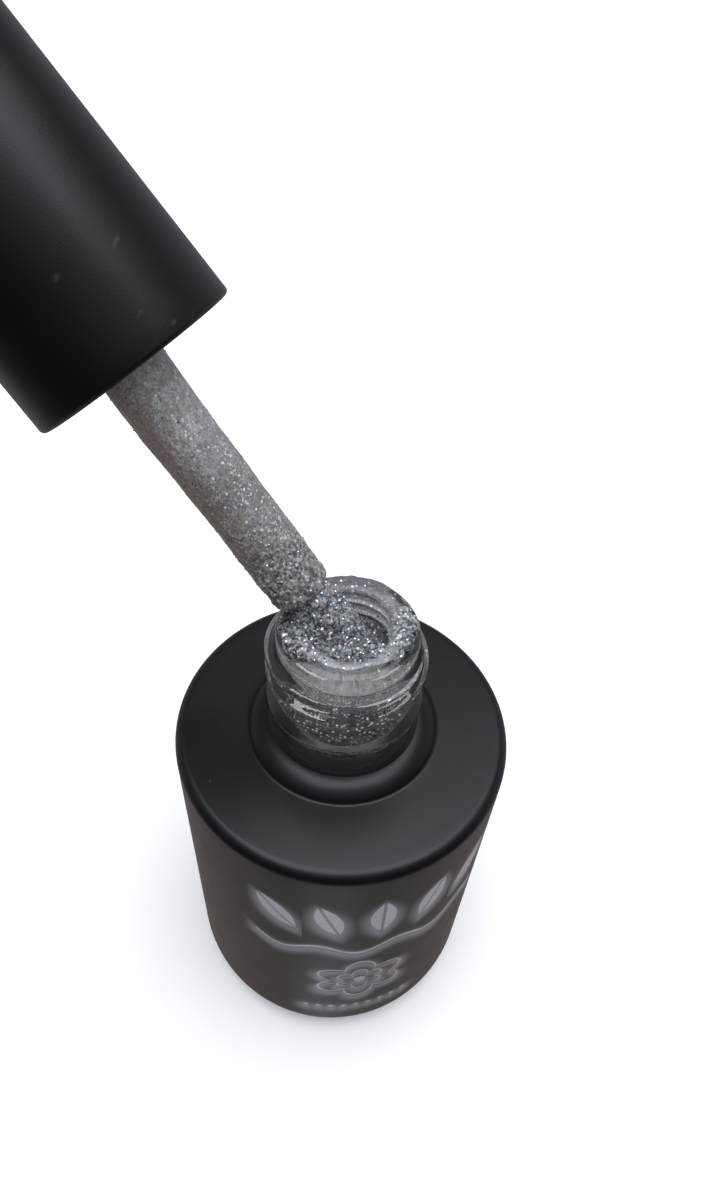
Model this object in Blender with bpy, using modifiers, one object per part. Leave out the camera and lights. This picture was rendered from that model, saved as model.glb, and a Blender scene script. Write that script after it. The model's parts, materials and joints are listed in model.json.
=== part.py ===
"""Gel polish bottle, open: a round glass bottle and its brush cap, leaning in the neck.

Metres, +Z up. The origin is the centre of the bottle's base. The brush cap is modelled
along its own axis and hung on an empty at the root of the bristles, which leans it over.
"""

import math

import bmesh
import bpy
from mathutils import Matrix, Vector

MM = 0.001

# Bottle
BODY_RADIUS = 15 * MM
SHOULDER_HEIGHT = 37 * MM
HEEL_RADIUS = 4 * MM
SHOULDER_EDGE = 1 * MM
GLASS_WALL = 2.4 * MM
GLASS_FLOOR = 3.5 * MM
INNER_CORNER = 2.5 * MM
THROAT_ROUND = 1 * MM

# Collar ring at the foot of the neck
COLLAR_RADIUS = 8.9 * MM
COLLAR_TOP_RADIUS = 7.6 * MM
COLLAR_HEIGHT = 1.3 * MM
COLLAR_ROUND = 0.6 * MM
COLLAR_FOOT_ROUND = 0.3 * MM
COVE = 1 * MM

# Neck, a 13 mm screw finish
NECK_HEIGHT = 13 * MM
NECK_RADIUS = 6.05 * MM
BORE_RADIUS = 3.66 * MM
LIP_RADIUS = 5.78 * MM
LIP_DEPTH = 1.1 * MM
LIP_EDGE = 0.5 * MM
LIP_STEP = 0.2 * MM
BEAD_RADIUS = 6.75 * MM
BEAD_BELOW_RIM = 8.1 * MM
BEAD_HALF_HEIGHT = 1.25 * MM
THREAD_RADIUS = 6.7 * MM
THREAD_PITCH = 2.12 * MM
THREAD_TURNS = 1.75
THREAD_BELOW_RIM = 1.7 * MM
THREAD_FOOT = 2.1 * MM
THREAD_ROOTED = 0.6 * MM
THREAD_CREST = 0.6 * MM

# Gel in the bottle and on the brush
GEL_GAP = 0.3 * MM
GEL_LEVEL = 31 * MM
GEL_CURL = 0.5 * MM
COAT_LOW = 1.3 * MM
COAT_INTO_CAP = 2 * MM
COAT_BORE_GAP = 0.2 * MM
COAT_LEAST = 0.15 * MM
COAT_RADIUS_AT_CAP = 2.5 * MM
COAT_RADIUS_AT_ROOT = 2.35 * MM
COAT_SAG_AT_CAP = 0.5 * MM
COAT_SAG_AT_ROOT = 0.9 * MM

# Brush cap, along its own axis: heights count from the root of the bristles
LEAN = math.radians(40.3)
LEAN_HEADING = math.radians(19.6)
AXIS_IN_MOUTH = (0.2 * MM, 0.74 * MM, 48.47 * MM)
ROOT_ABOVE_MOUTH_POINT = 5.52 * MM
CAP_MOUTH = 20.65 * MM
CAP_LENGTH = 42 * MM
CAP_RADIUS = 8.0 * MM
CAP_TAPER = 0.04
SHELL_WALL = 0.4 * MM
SHELL_TOP = 1.2 * MM
CAP_TOP_EDGE = 0.8 * MM
CAP_MOUTH_EDGE = 0.35 * MM
INNER_GAP = 0.06 * MM
INNER_BORE = 6.85 * MM
INNER_NECKED_BORE = 6.5 * MM
INNER_NECKS_AT = 10.4 * MM
INNER_RECESS = 0.6 * MM
INNER_LENGTH = 17.4 * MM
INNER_UPPER_WALL = 0.7 * MM
INNER_STEP = 0.4 * MM
STOP_DEPTH = 0.7 * MM
STOP_GAP = 0.3 * MM
SEAT_DEPTH = 13.2 * MM
PLATE = 1.4 * MM
BOSS_RADIUS = 3.5 * MM
BOSS_HEIGHT = 6 * MM
BOSS_ROOF = 1 * MM
RIB_COUNT = 6
RIB_WIDTH = 0.8 * MM
RIB_HEIGHT = 2.4 * MM
RIB_SUNK = 0.4 * MM
CAP_THREAD_ABOVE_MOUTH = 8.4 * MM
CAP_THREAD_TURNS = 1.5
CAP_THREAD_CLEARANCE = 0.3 * MM
CAP_THREAD_ROOTED = 0.2 * MM
CAP_THREAD_FOOT = 1.4 * MM
CAP_THREAD_CREST = 0.5 * MM
LINER_RADIUS = 6.2 * MM
LINER_HOLE = 1.7 * MM
LINER_THICKNESS = 0.7 * MM
LINER_DEPTH = 11.3 * MM
STEM_RADIUS = 1.3 * MM
STEM_FLANGE = 3.2 * MM
STEM_FLANGE_DEPTH = 12.25 * MM
STEM_FLANGE_THICKNESS = 0.7 * MM
PLUG_RADIUS = 2.1 * MM
PLUG_CLEARANCE = 0.25 * MM
PLUG_CHAMFER = 0.4 * MM
PLUG_END_GAP = 0.4 * MM
STEM_END_CHAMFER = 0.15 * MM
STEM_END = 0.5 * MM
SOCKET_RADIUS = 1.0 * MM
SOCKET_DEPTH = 6.5 * MM
ANCHOR_RADIUS = 0.8 * MM
ANCHOR_END_GAP = 0.3 * MM
ANCHOR_CRIMP = 0.5 * MM
TUFT_ROOT_RADIUS = 0.8 * MM
TUFT_RADIUS = 1.25 * MM
TUFT_TIP_RADIUS = 0.6 * MM
TUFT_TIP_REACH = 1.5 * MM
TUFT_TIP_HEIGHT = 41.6 * MM
TUFT_STRAIGHT = 4.6 * MM
TUFT_HANG = 5.5 * MM

# Facets round a turned piece
ROUND_STEPS = 48
SMALL_STEPS = 24

RIM_HEIGHT = SHOULDER_HEIGHT + NECK_HEIGHT


def clear_scene():
    for obj in list(bpy.data.objects):
        bpy.data.objects.remove(obj, do_unlink=True)


def new_collection(name):
    collection = bpy.data.collections.new(name)
    bpy.context.scene.collection.children.link(collection)
    return collection


def new_material(name, colour, roughness, metallic=0.0, transmission=0.0):
    material = bpy.data.materials.new(name)
    material.use_nodes = True
    shader = material.node_tree.nodes["Principled BSDF"]
    shader.inputs["Base Color"].default_value = (*colour, 1)
    shader.inputs["Roughness"].default_value = roughness
    shader.inputs["Metallic"].default_value = metallic
    shader.inputs["Transmission Weight"].default_value = transmission
    material.diffuse_color = (*colour, 1)
    return material


def arc(centre, radius, start, end, steps):
    """Points of a round stretch of a profile, as (distance from the axis, height), angles in degrees."""
    angles = [math.radians(start + (end - start) * i / steps) for i in range(steps + 1)]
    return [(centre[0] + radius * math.cos(a), centre[1] + radius * math.sin(a)) for a in angles]


def new_object(name, mesh, material, collection, parent=None):
    obj = bpy.data.objects.new(name, mesh)
    collection.objects.link(obj)
    if material:
        mesh.materials.append(material)
    if parent:
        obj.parent = parent
    return obj


def turned(name, profile, material, collection, parent=None, steps=ROUND_STEPS, ring=False):
    """A profile turned about Z. It runs down the outer side, and a ring's profile closes on itself."""
    mesh = bpy.data.meshes.new(name)
    count = len(profile)
    edges = [(i, i + 1) for i in range(count - 1)]
    if ring:
        edges.append((count - 1, 0))
    mesh.from_pydata([(r, 0, z) for r, z in profile], edges, [])
    obj = new_object(name, mesh, material, collection, parent)
    screw = obj.modifiers.new("Turn", "SCREW")
    screw.axis = "Z"
    screw.steps = steps
    screw.render_steps = steps
    screw.use_merge_vertices = True
    screw.merge_threshold = 1e-6
    screw.use_smooth_shade = True
    return obj


def helper(obj):
    obj.hide_render = True
    obj.display_type = "WIRE"
    return obj


def join(obj, other):
    union = obj.modifiers.new("Join " + other.name, "BOOLEAN")
    union.operation = "UNION"
    union.object = other
    return obj


def thread_ridge(name, collection, top, turns, crest, foot, foot_half, crest_half, parent=None):
    """A right-hand screw ridge that winds down from `top` and fades out at both ends.

    The ridge stands on the radius `foot` and reaches `crest`, which is the larger of the two
    on an outside thread and the smaller on an inside one.
    """
    steps = int(turns * ROUND_STEPS)
    fade = ROUND_STEPS // 6
    thinnest = 0.04
    bm = bmesh.new()
    rings = []
    for i in range(steps + 1):
        turn = i / ROUND_STEPS
        grown = min(1.0, i / fade, (steps - i) / fade)
        grown = thinnest + (1 - thinnest) * math.sin(grown * math.pi / 2)
        angle = -turn * math.tau
        height = top - turn * THREAD_PITCH
        reach = foot + (crest - foot) * grown
        section = [
            (foot, height - foot_half * grown),
            (reach, height - crest_half * grown),
            (reach, height + crest_half * grown),
            (foot, height + foot_half * grown),
        ]
        rings.append(
            [bm.verts.new((r * math.cos(angle), r * math.sin(angle), z)) for r, z in section]
        )
    for one, two in zip(rings, rings[1:]):
        for j in range(4):
            k = (j + 1) % 4
            bm.faces.new((one[j], one[k], two[k], two[j]))
    bm.faces.new(rings[0])
    bm.faces.new(list(reversed(rings[-1])))
    bmesh.ops.recalc_face_normals(bm, faces=bm.faces)
    mesh = bpy.data.meshes.new(name)
    bm.to_mesh(mesh)
    bm.free()
    return helper(new_object(name, mesh, None, collection, parent))


def glass_bottle(parts, cutters, material):
    """Flat-shouldered round bottle, collar ring and screw neck, hollow and open at the mouth."""
    cavity = BODY_RADIUS - GLASS_WALL
    ceiling = SHOULDER_HEIGHT - GLASS_WALL
    bead = RIM_HEIGHT - BEAD_BELOW_RIM
    collar_top = SHOULDER_HEIGHT + COLLAR_HEIGHT
    lip_foot = RIM_HEIGHT - LIP_DEPTH
    profile = [(0, GLASS_FLOOR)]
    profile += arc((cavity - INNER_CORNER, GLASS_FLOOR + INNER_CORNER), INNER_CORNER, -90, 0, 4)
    profile += arc((cavity - INNER_CORNER, ceiling - INNER_CORNER), INNER_CORNER, 0, 90, 4)
    throat = (BORE_RADIUS + THROAT_ROUND, ceiling + THROAT_ROUND)
    profile += arc(throat, THROAT_ROUND, 270, 180, 3)
    profile += arc((BORE_RADIUS + LIP_EDGE, RIM_HEIGHT - LIP_EDGE), LIP_EDGE, 180, 90, 3)
    profile += arc((LIP_RADIUS - LIP_EDGE, RIM_HEIGHT - LIP_EDGE), LIP_EDGE, 90, 0, 3)
    profile += [(LIP_RADIUS, lip_foot), (NECK_RADIUS, lip_foot - LIP_STEP)]
    bead_points = 9
    for i in range(bead_points):
        along = 2 * i / (bead_points - 1) - 1
        swell = (BEAD_RADIUS - NECK_RADIUS) * math.cos(along * math.pi / 2)
        profile.append((NECK_RADIUS + swell, bead - along * BEAD_HALF_HEIGHT))
    profile += arc((NECK_RADIUS + COVE, collar_top + COVE), COVE, 180, 250, 3)
    profile += arc((COLLAR_TOP_RADIUS, collar_top - COLLAR_ROUND), COLLAR_ROUND, 110, 30, 4)
    collar_foot = (COLLAR_RADIUS, SHOULDER_HEIGHT + COLLAR_FOOT_ROUND)
    profile += arc(collar_foot, COLLAR_FOOT_ROUND, 200, 270, 2)
    profile += arc(
        (BODY_RADIUS - SHOULDER_EDGE, SHOULDER_HEIGHT - SHOULDER_EDGE), SHOULDER_EDGE, 90, 0, 4
    )
    profile += arc((BODY_RADIUS - HEEL_RADIUS, HEEL_RADIUS), HEEL_RADIUS, 0, -90, 7)
    profile.append((0, 0))
    bottle = turned("glass_bottle", profile, material, parts)
    ridge = thread_ridge(
        "neck_thread",
        cutters,
        top=RIM_HEIGHT - THREAD_BELOW_RIM,
        turns=THREAD_TURNS,
        crest=THREAD_RADIUS,
        foot=NECK_RADIUS - THREAD_ROOTED,
        foot_half=THREAD_FOOT / 2,
        crest_half=THREAD_CREST / 2,
    )
    return join(bottle, ridge)


def polish_fill(parts, material):
    """The gel that fills the body, with its surface curling up at the glass."""
    reach = BODY_RADIUS - GLASS_WALL - GEL_GAP
    floor = GLASS_FLOOR + GEL_GAP
    edge = GEL_LEVEL + GEL_CURL
    profile = [(0, GEL_LEVEL), (reach - 4 * GEL_CURL, GEL_LEVEL)]
    profile += [(reach - GEL_CURL / 2, edge), (reach, edge)]
    profile += arc((reach - INNER_CORNER, floor + INNER_CORNER), INNER_CORNER, 0, -90, 4)
    profile.append((0, floor))
    return turned("polish_fill", profile, material, parts)


def brush_frame(parts):
    """The empty at the root of the bristles. Its Z runs up the leaning cap's axis."""
    lean = Vector(
        (
            -math.sin(LEAN) * math.cos(LEAN_HEADING),
            math.sin(LEAN) * math.sin(LEAN_HEADING),
            math.cos(LEAN),
        )
    )
    frame = bpy.data.objects.new("brush_frame", None)
    frame.empty_display_size = 5 * MM
    frame.location = Vector(AXIS_IN_MOUTH) + lean * ROOT_ABOVE_MOUTH_POINT
    frame.rotation_mode = "QUATERNION"
    frame.rotation_quaternion = Vector((0, 0, 1)).rotation_difference(lean)
    parts.objects.link(frame)
    return frame


def cap_radius(height):
    """The shell's outside narrows evenly from its mouth to its top."""
    return CAP_RADIUS - CAP_TAPER * (height - CAP_MOUTH)


def shell_bore(height):
    return cap_radius(height) - SHELL_WALL


def outer_cap(parts, material, frame):
    """The long plain shell, closed at the top, with a stop ring inside for the threaded cap."""
    low, high = CAP_MOUTH, CAP_MOUTH + CAP_LENGTH
    stop = low + INNER_RECESS + INNER_LENGTH + STOP_GAP
    top_radius = cap_radius(high)
    profile = [(0, high)]
    profile += arc((top_radius - CAP_TOP_EDGE, high - CAP_TOP_EDGE), CAP_TOP_EDGE, 90, 0, 4)
    profile += arc((CAP_RADIUS - CAP_MOUTH_EDGE, low + CAP_MOUTH_EDGE), CAP_MOUTH_EDGE, 0, -90, 3)
    profile += [(shell_bore(low), low + 0.1 * MM), (shell_bore(stop), stop)]
    profile += [(shell_bore(stop) - STOP_DEPTH, stop)]
    profile += [(shell_bore(stop) - STOP_DEPTH, stop + STOP_DEPTH)]
    profile += [(shell_bore(stop), stop + 2 * STOP_DEPTH)]
    profile += [(shell_bore(high), high - SHELL_TOP), (0, high - SHELL_TOP)]
    return turned("outer_cap", profile, material, parts, frame)


def inner_cap(parts, cutters, material, frame):
    """The threaded cap: a wall, a plate with the stem's socket on it, and ribs between them."""
    low = CAP_MOUTH + INNER_RECESS
    high = low + INNER_LENGTH
    seat = CAP_MOUTH + SEAT_DEPTH
    plate_top = seat + PLATE
    boss_top = seat + BOSS_HEIGHT
    necks_at = CAP_MOUTH + INNER_NECKS_AT
    socket = PLUG_RADIUS + PLUG_CLEARANCE
    foot_radius = shell_bore(low) - INNER_GAP
    top_radius = shell_bore(high) - INNER_GAP
    upper_bore = top_radius - INNER_UPPER_WALL
    profile = [(0, boss_top), (BOSS_RADIUS, boss_top), (BOSS_RADIUS, plate_top)]
    profile += [(upper_bore, plate_top), (upper_bore, high), (top_radius, high)]
    profile += [(foot_radius, low), (INNER_BORE, low), (INNER_BORE, necks_at)]
    profile += [(INNER_NECKED_BORE, necks_at + INNER_STEP), (INNER_NECKED_BORE, seat)]
    profile += [(socket, seat), (socket, boss_top - BOSS_ROOF), (0, boss_top - BOSS_ROOF)]
    cap = turned("inner_cap", profile, material, parts, frame)

    bm = bmesh.new()
    reach = (BOSS_RADIUS + upper_bore) / 2
    length = upper_bore - BOSS_RADIUS + INNER_UPPER_WALL
    for i in range(RIB_COUNT):
        box = bmesh.ops.create_cube(bm, size=1)["verts"]
        bmesh.ops.scale(bm, vec=(length, RIB_WIDTH, RIB_HEIGHT), verts=box)
        middle = plate_top + RIB_HEIGHT / 2 - RIB_SUNK
        bmesh.ops.translate(bm, vec=(reach, 0, middle), verts=box)
        turn = Matrix.Rotation(math.tau * (i + 0.25) / RIB_COUNT, 3, "Z")
        bmesh.ops.rotate(bm, cent=(0, 0, 0), matrix=turn, verts=box)
    mesh = bpy.data.meshes.new("socket_ribs")
    bm.to_mesh(mesh)
    bm.free()
    join(cap, helper(new_object("socket_ribs", mesh, None, cutters, frame)))

    ridge = thread_ridge(
        "cap_thread",
        cutters,
        top=CAP_MOUTH + CAP_THREAD_ABOVE_MOUTH,
        turns=CAP_THREAD_TURNS,
        crest=NECK_RADIUS + CAP_THREAD_CLEARANCE,
        foot=INNER_BORE + CAP_THREAD_ROOTED,
        foot_half=CAP_THREAD_FOOT / 2,
        crest_half=CAP_THREAD_CREST / 2,
        parent=frame,
    )
    return join(cap, ridge)


def cap_liner(parts, material, frame):
    """The soft washer that seals on the bottle's lip."""
    low = CAP_MOUTH + LINER_DEPTH
    high = low + LINER_THICKNESS
    profile = [(LINER_HOLE, high), (LINER_RADIUS, high), (LINER_RADIUS, low), (LINER_HOLE, low)]
    return turned("cap_liner", profile, material, parts, frame, ring=True)


def brush_stem(parts, material, frame):
    """The rod: its plug in the threaded cap, a flange over the liner, and a socket for the bristles."""
    top = CAP_MOUTH + SEAT_DEPTH + BOSS_HEIGHT - BOSS_ROOF - PLUG_END_GAP
    flange = CAP_MOUTH + STEM_FLANGE_DEPTH
    profile = [(0, top), (PLUG_RADIUS - PLUG_CHAMFER, top), (PLUG_RADIUS, top - PLUG_CHAMFER)]
    profile += [(PLUG_RADIUS, flange + STEM_FLANGE_THICKNESS)]
    profile += [(STEM_FLANGE, flange + STEM_FLANGE_THICKNESS), (STEM_FLANGE, flange)]
    profile += [(STEM_RADIUS, flange), (STEM_RADIUS, STEM_END + STEM_END_CHAMFER)]
    profile += [(STEM_RADIUS - STEM_END_CHAMFER, STEM_END), (SOCKET_RADIUS, STEM_END)]
    profile += [(SOCKET_RADIUS, SOCKET_DEPTH), (0, SOCKET_DEPTH)]
    return turned("brush_stem", profile, material, parts, frame, SMALL_STEPS)


def bristle_anchor(parts, material, frame):
    """The crimped plug that holds the folded bristles in the stem."""
    low = TUFT_ROOT_RADIUS + ANCHOR_END_GAP
    high = SOCKET_DEPTH - ANCHOR_END_GAP
    waist = (low + high) / 2
    pinched = ANCHOR_RADIUS * 0.7
    profile = [(0, high), (pinched, high), (ANCHOR_RADIUS, high - ANCHOR_CRIMP)]
    profile += [(ANCHOR_RADIUS, waist + ANCHOR_CRIMP), (pinched, waist)]
    profile += [(ANCHOR_RADIUS, waist - ANCHOR_CRIMP), (ANCHOR_RADIUS, low), (0, low)]
    return turned("bristle_anchor", profile, material, parts, frame, SMALL_STEPS)


def stem_gel(parts, material, frame):
    """The coat of gel on the stem. It has sagged, so it lies thicker under the stem than over it."""
    low, high = COAT_LOW, CAP_MOUTH + COAT_INTO_CAP
    bore = STEM_RADIUS + COAT_BORE_GAP
    thinnest = bore + COAT_LEAST
    rows = 8
    profile = [(bore, high)]
    profile += [(thinnest, high + (low - high) * i / rows) for i in range(rows + 1)]
    profile.append((bore, low))
    coat = turned("stem_gel", profile, material, parts, frame, SMALL_STEPS, ring=True)
    bpy.context.view_layer.update()
    evaluated = coat.evaluated_get(bpy.context.evaluated_depsgraph_get())
    coat.data = bpy.data.meshes.new_from_object(evaluated)
    coat.modifiers.clear()
    under = frame.rotation_quaternion.inverted() @ Vector((0, 0, -1))
    under = Vector((under.x, under.y, 0)).normalized()
    for vertex in coat.data.vertices:
        out = Vector((vertex.co.x, vertex.co.y, 0))
        if out.length < (bore + thinnest) / 2:
            continue
        along = (vertex.co.z - low) / (high - low)
        radius = COAT_RADIUS_AT_ROOT + (COAT_RADIUS_AT_CAP - COAT_RADIUS_AT_ROOT) * along
        sag = COAT_SAG_AT_ROOT + (COAT_SAG_AT_CAP - COAT_SAG_AT_ROOT) * along
        out = out.normalized() * radius + under * sag
        out *= max(1, thinnest / out.length)
        vertex.co = (out.x, out.y, vertex.co.z)
    return coat


def bristle_tuft(parts, material, frame):
    """The wet bristles: they leave the stem along its axis and bend down into the neck."""
    heading = Vector((-math.cos(LEAN_HEADING), math.sin(LEAN_HEADING), 0))
    root = frame.location.copy()
    down_stem = -(heading * math.sin(LEAN) + Vector((0, 0, math.cos(LEAN))))
    tip = -heading * TUFT_TIP_REACH + Vector((0, 0, TUFT_TIP_HEIGHT))
    bend = [root, root + down_stem * TUFT_STRAIGHT, tip + Vector((0, 0, TUFT_HANG)), tip]
    steps = 22
    route = []
    for i in range(steps + 1):
        t = i / steps
        weights = ((1 - t) ** 3, 3 * t * (1 - t) ** 2, 3 * t * t * (1 - t), t**3)
        route.append(sum((p * w for p, w in zip(bend, weights)), Vector()))
    length = sum((b - a).length for a, b in zip(route, route[1:]))
    points = []
    for angle in (80, 55, 30):
        back = math.radians(angle)
        place = root - down_stem * TUFT_ROOT_RADIUS * math.sin(back)
        points.append((place, TUFT_ROOT_RADIUS * math.cos(back)))
    gone = 0.0
    for i, point in enumerate(route):
        if i:
            gone += (point - route[i - 1]).length
        share = gone / length
        spread = min(1.0, share / 0.4)
        taper = max(0.0, share - 0.6) / 0.4
        width = TUFT_ROOT_RADIUS + (TUFT_RADIUS - TUFT_ROOT_RADIUS) * spread * (2 - spread)
        width += (TUFT_TIP_RADIUS - TUFT_RADIUS) * taper**1.6
        points.append((point, width))
    curve = bpy.data.curves.new("bristle_tuft", "CURVE")
    curve.dimensions = "3D"
    curve.bevel_depth = 1
    curve.bevel_resolution = 4
    curve.use_fill_caps = True
    spline = curve.splines.new("POLY")
    spline.points.add(len(points) - 1)
    for place, (point, width) in zip(spline.points, points):
        place.co = (*(point - root), 1)
        place.radius = width
    curve.materials.append(material)
    obj = bpy.data.objects.new("bristle_tuft", curve)
    obj.location = root
    parts.objects.link(obj)
    return obj


def main():
    clear_scene()
    parts = new_collection("gel_polish_bottle")
    cutters = new_collection("construction")
    glass = new_material("coated_glass", (0.02, 0.02, 0.024), 0.45)
    gel = new_material("glitter_gel", (0.5, 0.5, 0.52), 0.25, metallic=0.6)
    shell = new_material("matt_black_shell", (0.015, 0.015, 0.017), 0.5)
    plastic = new_material("natural_plastic", (0.75, 0.75, 0.72), 0.4)
    foam = new_material("white_foam", (0.85, 0.85, 0.83), 0.8)
    steel = new_material("steel_anchor", (0.6, 0.6, 0.62), 0.3, metallic=1.0)
    fibre = new_material("bristle_fibre", (0.6, 0.6, 0.6), 0.45)

    glass_bottle(parts, cutters, glass)
    polish_fill(parts, gel)
    frame = brush_frame(parts)
    outer_cap(parts, shell, frame)
    inner_cap(parts, cutters, plastic, frame)
    cap_liner(parts, foam, frame)
    brush_stem(parts, plastic, frame)
    stem_gel(parts, gel, frame)
    bristle_anchor(parts, steel, frame)
    bristle_tuft(parts, fibre, frame)


main()
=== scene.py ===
"""Looks of an open bottle of glitter gel polish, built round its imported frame.

Metres and +Z up, as in the frame. The bottle stands on the floor at the origin, and its brush cap
leans out of the mouth. Pieces of the brush cap are modelled along the cap's own axis: their local
Z runs up the cap from the pivot of the joint cap_tilt, which is the root of the bristles.
"""

import json
import math
import random
from functools import partialmethod

import bmesh
import bpy
import numpy as np
from mathutils import Matrix, Vector, noise


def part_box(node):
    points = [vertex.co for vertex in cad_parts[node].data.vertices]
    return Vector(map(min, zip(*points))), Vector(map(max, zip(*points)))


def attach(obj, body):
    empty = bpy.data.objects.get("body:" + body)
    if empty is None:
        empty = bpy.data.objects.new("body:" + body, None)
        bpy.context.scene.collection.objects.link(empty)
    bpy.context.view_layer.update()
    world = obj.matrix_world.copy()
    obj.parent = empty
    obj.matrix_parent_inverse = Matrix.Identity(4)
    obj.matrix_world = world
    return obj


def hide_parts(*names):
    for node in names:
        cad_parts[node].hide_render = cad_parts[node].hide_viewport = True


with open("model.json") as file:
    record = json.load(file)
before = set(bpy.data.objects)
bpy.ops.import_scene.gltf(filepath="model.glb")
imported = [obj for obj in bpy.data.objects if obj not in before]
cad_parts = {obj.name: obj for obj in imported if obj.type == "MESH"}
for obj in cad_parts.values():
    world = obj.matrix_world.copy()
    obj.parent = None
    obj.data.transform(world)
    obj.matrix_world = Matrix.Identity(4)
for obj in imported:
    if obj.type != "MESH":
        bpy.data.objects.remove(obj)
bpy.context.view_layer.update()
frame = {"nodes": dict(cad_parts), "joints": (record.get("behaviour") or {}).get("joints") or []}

MM = 0.001
TAU = math.tau

# From the frame
JOINTS = {joint["name"]: joint for joint in frame["joints"]}
ROOT = Vector(JOINTS["cap_turn"]["pos_m"])
CAP_AXIS = Vector(JOINTS["cap_turn"]["axis"]).normalized()
BRUSH = Matrix.Translation(ROOT) @ CAP_AXIS.to_track_quat("Z", "Y").to_matrix().to_4x4()
BODY_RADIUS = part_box("glass_bottle")[1].x
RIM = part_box("glass_bottle")[1].z
TUFT_TIP_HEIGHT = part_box("bristle_tuft")[0].z
GEL_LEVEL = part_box("polish_fill")[1].z


def span_along_cap(node):
    """Lowest and highest height and largest radius of a CAD node, in the brush cap's frame."""
    to_cap = BRUSH.inverted()
    points = np.array([to_cap @ vertex.co for vertex in frame["nodes"][node].data.vertices])
    return points[:, 2].min(), points[:, 2].max(), np.hypot(points[:, 0], points[:, 1]).max()


CAP_MOUTH, CAP_TOP, CAP_RADIUS = span_along_cap("outer_cap")
INNER_LOW, _, _ = span_along_cap("inner_cap")
LINER_LOW, LINER_HIGH, LINER_RADIUS = span_along_cap("cap_liner")
STEM_LOW, STEM_HIGH, STEM_FLANGE = span_along_cap("brush_stem")

# Bottle
SHOULDER = RIM - 13 * MM
HEEL = 4 * MM
SHOULDER_EDGE = 1 * MM
WALL = 2.4 * MM
FLOOR_THICKNESS = 3.5 * MM
INNER_CORNER = 2.5 * MM
COLLAR_RADIUS = 8.75 * MM
COLLAR_CREST = 6.37 * MM
COLLAR_DOME = 2.51 * MM
COLLAR_TOP = SHOULDER + 1.3 * MM
COLLAR_FILLET = 0.35 * MM
COAT = 0.05 * MM

# Neck
NECK_RADIUS = 6.05 * MM
COVE = 1.1 * MM
COVE_MIDDLE = (NECK_RADIUS + COVE, COLLAR_TOP + 1.05 * MM)
COAT_END_ANGLE = 219.5
COAT_END = COVE_MIDDLE[1] + COVE * math.sin(math.radians(COAT_END_ANGLE))
BORE = 3.66 * MM
LIP_RADIUS = 5.85 * MM
LIP_DEPTH = 1.5 * MM
LIP_INNER_EDGE = 0.5 * MM
LIP_OUTER_EDGE = 0.9 * MM
UNDERCUT = 0.25 * MM
BEAD_RADIUS = 6.75 * MM
BEAD_HEIGHT = RIM - 8.1 * MM
BEAD_HALF = 1.25 * MM
THREAD_RADIUS = 6.75 * MM
PITCH = 2.12 * MM
THREAD_TURNS = 1.8
THREAD_TOP = RIM - 1.55 * MM
THREAD_HALVES = (0.2 * MM, 0.85 * MM)

# Brush cap
TAPER = 0.04
SHELL_WALL = 0.4 * MM
INNER_GAP = 0.06 * MM
INNER_BORE = 6.85 * MM
INNER_NECKED_BORE = 6.5 * MM
INNER_TOP = CAP_MOUTH + 18 * MM
INNER_UPPER_WALL = 0.7 * MM
INNER_BLACK = (0.006, 0.006, 0.0065)
NECKS_AT = CAP_MOUTH + 10.4 * MM
SEAT = CAP_MOUTH + 13.2 * MM
PLATE = 1.4 * MM
BOSS_RADIUS = 3.5 * MM
BOSS_TOP = SEAT + 6 * MM
SOCKET_RADIUS = 2.35 * MM
STEM_RADIUS = 1.3 * MM
PLUG_RADIUS = 2.1 * MM
BRISTLE_SOCKET = 1.0 * MM
SOCKET_END = 6.5 * MM
BRISTLE_COUNT = 130
BRISTLE_RADIUS = 0.05 * MM
TUFT_SAG = 0.95  # millimetres by which the gel hangs off the tuft at its root

# Where the gel is heaped on the lip: heading in degrees from +X, reach and flatness for near()
LEFT_HEAP = (190, 62, 4)
RIGHT_HEAP = (-12, 36, 4)


# Shapes ------------


def arc(centre, radius, start, end, steps):
    """Points (distance from the axis, height) of a round stretch of a profile, in degrees."""
    angles = [math.radians(start + (end - start) * i / steps) for i in range(steps + 1)]
    return [(centre[0] + radius * math.cos(a), centre[1] + radius * math.sin(a)) for a in angles]


def corner(r, z, radius, start, end, steps):
    """The rounded form of a profile's corner, from the point where it would be sharp."""
    middle = math.radians((start + end) / 2)
    across, up = math.copysign(radius, math.cos(middle)), math.copysign(radius, math.sin(middle))
    return arc((r - across, z - up), radius, start, end, steps)


def dense(profile, step):
    """The same profile with points no further apart than step."""
    points = [profile[0]]
    for (r0, z0), (r1, z1) in zip(profile, profile[1:]):
        parts = max(1, math.ceil(math.hypot(r1 - r0, z1 - z0) / step))
        for i in range(1, parts + 1):
            points.append((r0 + (r1 - r0) * i / parts, z0 + (z1 - z0) * i / parts))
    return points


def circle(columns):
    """Evenly spread headings from +X, and a level direction for each of them."""
    angle = np.arange(columns) * TAU / columns
    return angle, np.stack([np.cos(angle), np.sin(angle), np.zeros(columns)], 1)


def smooth_step(value):
    value = np.clip(value, 0, 1)
    return value * value * (3 - 2 * value)


def lumps(points, size, seed, octaves=2):
    """Smooth noise from about -1 to 1 at each of an array of points, with lumps of that size."""
    shift = Vector((seed * 7.31, seed * 3.17, seed * 5.53))
    flat = points.reshape(-1, 3) / size
    values = [noise.fractal(Vector(point) + shift, 1.0, 2.0, octaves) for point in flat]
    return np.array(values).reshape(points.shape[:-1])


def rough(points, *layers):
    """Lumps added up, for layers of (size, seed, height) with sizes and heights in millimetres."""
    return sum(lumps(points, size * MM, seed) * height * MM for size, seed, height in layers)


def spokes(around, across, up):
    """Points that far across from the axis along each direction in around, and that far up."""
    points = around * np.reshape(across, (-1, 1))
    points[:, 2] = up
    return points


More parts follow.
